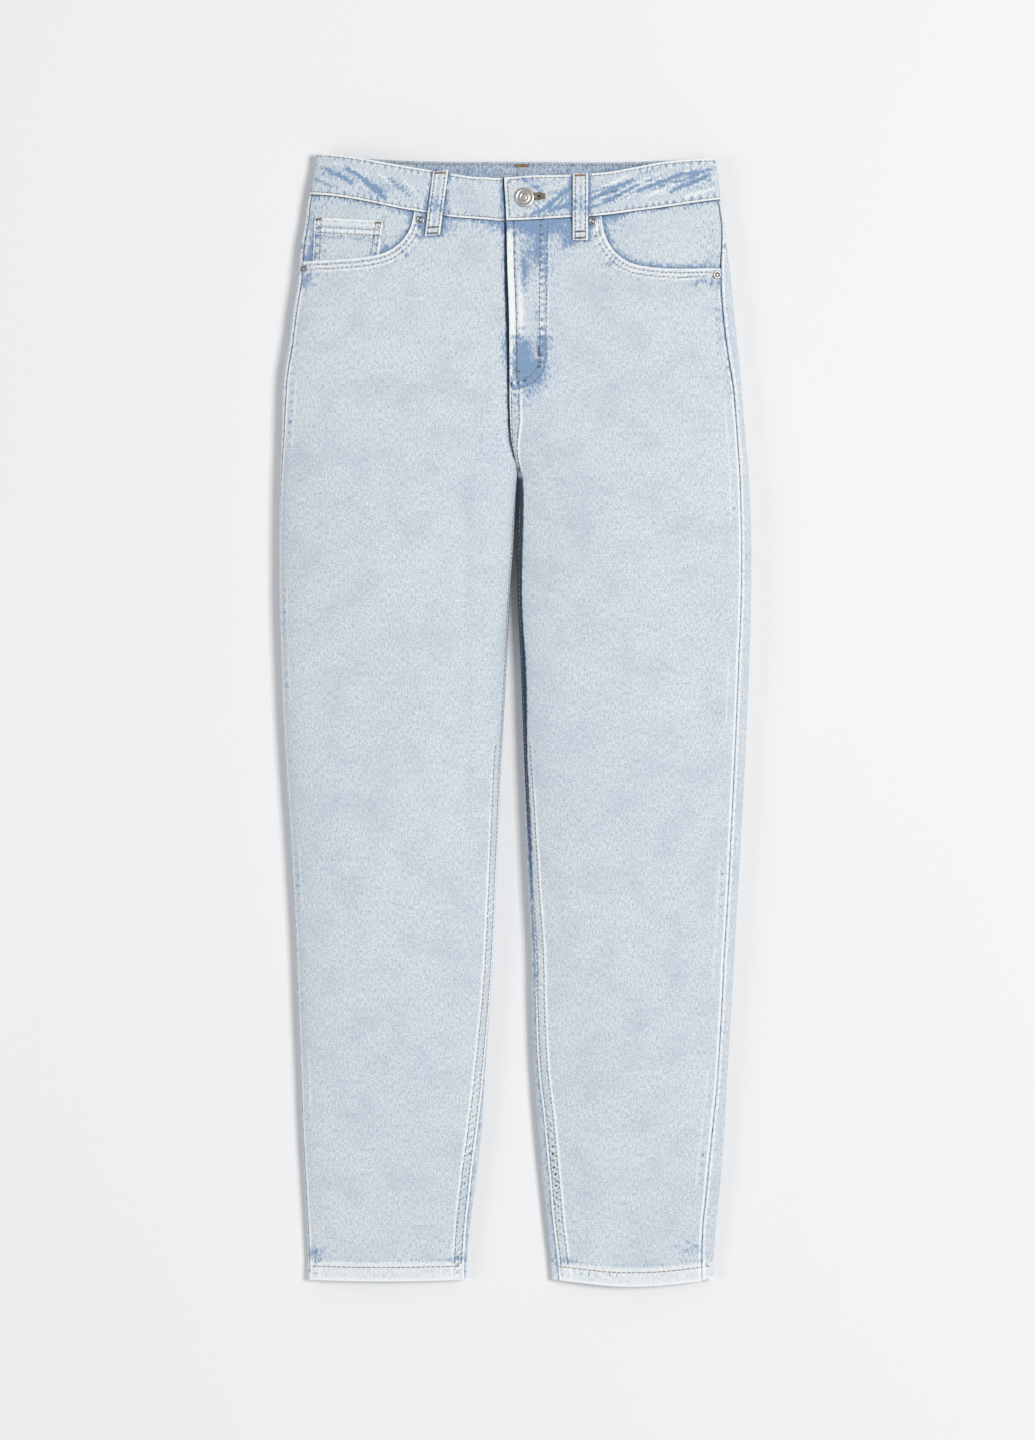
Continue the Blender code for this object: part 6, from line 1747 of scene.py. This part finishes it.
# buttonhole: thread packed round the slit, with a bar at its far end
hole = []
for k in range(58):
    share = k / 57
    if share < 0.42:
        t = share / 0.42
        hole.append((10.5 + 12.0 * t, BUTTON_Y + 2.2 + 0.4 * t, 0.0, 1.0))
    elif share < 0.58:
        t = (share - 0.42) / 0.16
        turn = math.pi * (0.5 - t)
        hole.append((22.5 + 1.3 * math.cos(turn), BUTTON_Y + 1.4 + 1.3 * math.sin(turn), math.cos(turn), math.sin(turn)))
    else:
        t = (share - 0.58) / 0.42
        hole.append((22.5 - 12.0 * t, BUTTON_Y - 0.1 - 1.2 * t, 0.0, -1.0))
for x, y, way_x, way_y in hole:
    ends = []
    for reach in (-0.5, 1.9):
        px, py = np.array([x + way_x * reach]), np.array([y + way_y * reach])
        point, normal = lay(1, py, run_at(1, py, px), -BAND_PROUD, band_detail)
        ends.append(point[0] + normal[0] * 0.25)
    SEWN["tan"].append((np.array([ends[0]]), np.array([ends[1]]), normal, np.array([0.62])))
bar_in_plan("tan", 1, 25.4, BUTTON_Y + 1.4, -BAND_PROUD, band_detail, (0, 1), 4.6, 1.6)

for name in FRONT_LOOPS:
    for across in (-LOOP_WIDTH / 2 + 2.2, LOOP_WIDTH / 2 - 2.2):
        t = np.linspace(0.03, 0.97, 160)
        side, y, a, x, depth = front_loop_place(name, t, across)
        points, normals = lay(side, y, a, depth)
        sew("grey", points + normals * 0.05, normals, pitch=3.3, length=2.6)
    for t, thread in ((0.035, "grey"), (0.965, "tan"), (0.13, "grey")):
        side, y, a, x, depth = front_loop_place(name, np.array([t]), 0.0)
        points, normals = lay(side, y, a, depth)
        bar(thread, points[0] + normals[0] * 0.1, normals[0], (1.0, 0.05, 0.0), 9.6, 1.6)


def flat_row(thread, line, **how):
    """A row on the underside, on pieces that lie on the table."""
    line = np.asarray(line, float)
    run = np.concatenate([[0.0], np.cumsum(np.hypot(*np.diff(line, axis=0).T))])
    fine = np.arange(0.0, run[-1], 0.5)
    points = np.stack([np.interp(fine, run, line[:, 0]), np.interp(fine, run, line[:, 1]), np.full(len(fine), 0.12)], 1)
    sew(thread, points, np.tile((0.0, 0.0, -1.0), (len(fine), 1)), **how)


for name, middle in BACK_LOOPS.items():
    for across in (-LOOP_WIDTH / 2 + 2.2, LOOP_WIDTH / 2 - 2.2):
        flat_row("grey", [(middle + across, BACK_LOOP_LOW + 1.5), (middle + across, BACK_LOOP_HIGH - 1.5)],
                 pitch=3.3, length=2.6)
    for y in (BACK_LOOP_LOW + 2.0, BACK_LOOP_HIGH - 2.0):
        bar("grey", (middle, y, 0.1), (0.0, 0.0, -1.0), (1.0, 0.0, 0.0), 9.6, 1.9)
for side in (-1, 1):
    for inset in (2.4, 7.0):
        u = inset / (PATCH_SIDE / 2) / 2
        line = [patch_place(side, s, t) for s, t in
                ((u, 0.985), (u, inset / 120.0), (0.5, inset / 140.0), (1 - u, inset / 120.0), (1 - u, 0.985))]
        flat_row("grey", line)
    for drop in (2.4, 15.0):
        flat_row("grey", [(CENTRE_BACK_X + side * PATCH_MIDDLE + u * (PATCH_SIDE / 2 - 8.0), PATCH_TOP - drop)
                          for u in (-1.0, 1.0)])
    for u in (-1.0, 1.0):
        bar("grey", (CENTRE_BACK_X + side * PATCH_MIDDLE + u * (PATCH_SIDE / 2 - 5.0), PATCH_TOP - 1.6, 0.05),
            (0.0, 0.0, -1.0), (1.0, 0.0, 0.0), 6.0, 1.8)

# the tan bartack inside the back of the waist, and the thread along the band's inner upper edge
for side in (-1, 1):
    share = np.linspace(0.25, 1.0, 500)
    y = np.full(500, 460.0)
    for _ in range(5):
        a = under_end(side, y) * share
        x = spot(side, y, a)[0]
        y = blend(BAND_BACK, 2, x) - 2.3
    points, normals = lay(side, y, a, BAND_WALL)
    sew("tan", points - normals * 0.12, -normals, pitch=3.6, length=2.8)
inner_at, inner_way = lay(1, np.array([481.0]), under_end(1, np.array([481.0])) + 4.0, BAND_WALL)
bar("tan", inner_at[0] - inner_way[0] * 0.2, -inner_way[0], (1.0, 0.0, 0.0), 12.0, 3.0)


# %% Turn the sewing into thread
def thread_object(name, rows, finish):
    """All stitches of one thread as short capsules in one mesh."""
    first, last, normal, width = (np.concatenate([row[k] for row in rows]) for k in range(4))
    along = last - first
    length = np.linalg.norm(along, axis=1, keepdims=True)
    along /= length
    across = np.cross(normal, along)
    across /= np.linalg.norm(across, axis=1, keepdims=True)
    up = np.cross(along, across)
    spots_on = np.array([-0.5, -0.33, 0.33, 0.5])
    size = np.array([0.5, 1.0, 1.0, 0.5])
    drop = np.array([-0.22, 0.0, 0.0, -0.22])
    turn = np.linspace(0.0, 2 * math.pi, 6, endpoint=False) + math.pi / 6
    middle = 0.5 * (first + last)
    rings = []
    for where, thick, sink in zip(spots_on, size, drop):
        centre = middle + along * length * where + up * sink
        for angle in turn:
            rings.append(centre + across * (0.5 * thick * width * math.cos(angle))[:, None]
                         + up * (0.36 * thick * width * math.sin(angle))[:, None])
    points = np.stack(rings, 1).reshape(-1, 3)
    shape = []
    for r in range(3):
        for k in range(6):
            j = (k + 1) % 6
            shape.append((r * 6 + k, r * 6 + j, r * 6 + 6 + j, r * 6 + 6 + k))
    shape = np.array(shape)
    caps = np.array([(3, 2, 1, 0), (5, 4, 3, 0), (18, 19, 20, 21), (18, 21, 22, 23)])
    one = np.concatenate([shape, caps])
    faces = (one[None] + 24 * np.arange(len(first))[:, None, None]).reshape(-1, 4)
    wash_and_shade = np.tile((0.0, 0.0, 0.0, 1.0), (len(points), 1))
    piece = mesh_object(name, points, faces, points[:, :2] * MM, wash_and_shade, [finish], np.zeros(len(faces)))
    print(name, "stitches:", len(first), "triangles:", len(faces) * 2)
    return piece


STITCHES = [thread_object("washed_topstitching", SEWN["grey"], THREAD_GREY),
            thread_object("tan_topstitching", SEWN["tan"], THREAD_TAN)]

# %% [markdown]
# ## Attaching each piece in place of its CAD part
# Each piece rides on the root and hides the CAD part it replaces. The sizes in CUTS are those of the piece on the plain
# form, before creases and puckers; they are not passed on here.

# %% Ride and replace
REPLACED = {"front_right_cloth": "front_panel_right", "front_left_cloth": "front_panel_left",
            "back_right_cloth": "back_panel_right", "back_left_cloth": "back_panel_left",
            "fly_zip_tape": "fly_zip"}
for name, (width, length, area) in CUTS.items():
    piece = bpy.data.objects[name]
    node = REPLACED.get(name, name.replace("_cloth", ""))
    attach(piece, "root")
    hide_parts(node)
for name, piece in METAL.items():
    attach(piece, "root")
    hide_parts(name)
for piece in STITCHES:
    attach(piece, "root")
for piece in (ZIP_TEETH, ZIP_SLIDER):
    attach(piece, "root")

# %% [markdown]
# ## Table, light and camera
# The jeans were photographed on a white table from straight above. One large soft light from the upper right
# leaves a short grey shadow along the left of each leg; the pale surroundings fill the rest.

# %% Table
def painted_board(name):
    """White painted board: almost even, with a slight mottling and a matt coat."""
    finish, tree = new_material(name)
    place = add_node(tree, "ShaderNodeTexCoord")
    cloud = add_node(tree, "ShaderNodeTexNoise", {}, {"Vector": place.outputs["Object"], "Scale": 1.6,
                                                     "Detail": 3.0})
    colour = add_node(tree, "ShaderNodeMix", {"data_type": "RGBA"},
                      {0: cloud.outputs["Fac"], 6: linear("#F3F3F3"), 7: linear("#F0F0F1")})
    fine = add_node(tree, "ShaderNodeTexNoise", {}, {"Vector": place.outputs["Object"], "Scale": 400.0})
    bump = add_node(tree, "ShaderNodeBump", {}, {"Height": fine.outputs["Fac"], "Strength": 0.05,
                                                "Distance": 0.0002})
    shader = add_node(tree, "ShaderNodeBsdfPrincipled", {},
                      {"Base Color": colour.outputs[2], "Roughness": 0.8, "Normal": bump.outputs[0],
                       "Specular IOR Level": 0.2})
    add_node(tree, "ShaderNodeOutputMaterial", {}, {"Surface": shader.outputs[0]})
    return finish


TABLE_HALF, TABLE_Z = 6.0, -0.0008
mesh = bpy.data.meshes.new("table_top")
mesh.from_pydata([(-TABLE_HALF, -TABLE_HALF, TABLE_Z), (TABLE_HALF, -TABLE_HALF, TABLE_Z),
                  (TABLE_HALF, TABLE_HALF, TABLE_Z), (-TABLE_HALF, TABLE_HALF, TABLE_Z)], [], [(0, 1, 2, 3)])
table = bpy.data.objects.new("table_top", mesh)
mesh.materials.append(painted_board("white_painted_board"))
bpy.context.scene.collection.objects.link(table)


# %% Lights
def soft_light(name, place, size, power, colour):
    """Square soft box that looks at the middle of the garment."""
    lamp = bpy.data.lights.new(name, "AREA")
    lamp.shape = "SQUARE"
    lamp.size = size
    lamp.energy = power
    lamp.color = linear(colour)[:3]
    box = bpy.data.objects.new(name, lamp)
    box.location = place
    direction = -box.location.normalized()
    box.rotation_euler = direction.to_track_quat("-Z", "Y").to_euler()
    bpy.context.scene.collection.objects.link(box)


soft_light("window_light", (3.0, 0.5, 5.0), 1.8, 206.0, "#FFFEFC")
soft_light("fill_light", (-4.6, -0.6, 3.0), 2.4, 61.0, "#FCFDFF")
world = bpy.data.worlds.new("pale_room")
world.use_nodes = True
world.node_tree.nodes["Background"].inputs[0].default_value = linear("#F6F8FA")
world.node_tree.nodes["Background"].inputs[1].default_value = 0.43
bpy.context.scene.world = world
bpy.context.scene.view_settings.view_transform = "Standard"

# %% Camera
# The image is 1035 by 1440 and shows 1.2485 m of table from top to bottom; the view is straight down.
SHOWN_HEIGHT, CAMERA_HEIGHT, CLOTH_LEVEL = 1.24848, 4.0, 0.008
camera_data = bpy.data.cameras.new("camera")
camera_data.sensor_width = 36.0
camera_data.lens = 36.0 * (CAMERA_HEIGHT - CLOTH_LEVEL) / SHOWN_HEIGHT
camera_data.clip_end = 50.0
camera = bpy.data.objects.new("camera", camera_data)
camera.location = (0.0022, 0.0, CAMERA_HEIGHT)
bpy.context.scene.collection.objects.link(camera)
bpy.context.scene.camera = camera
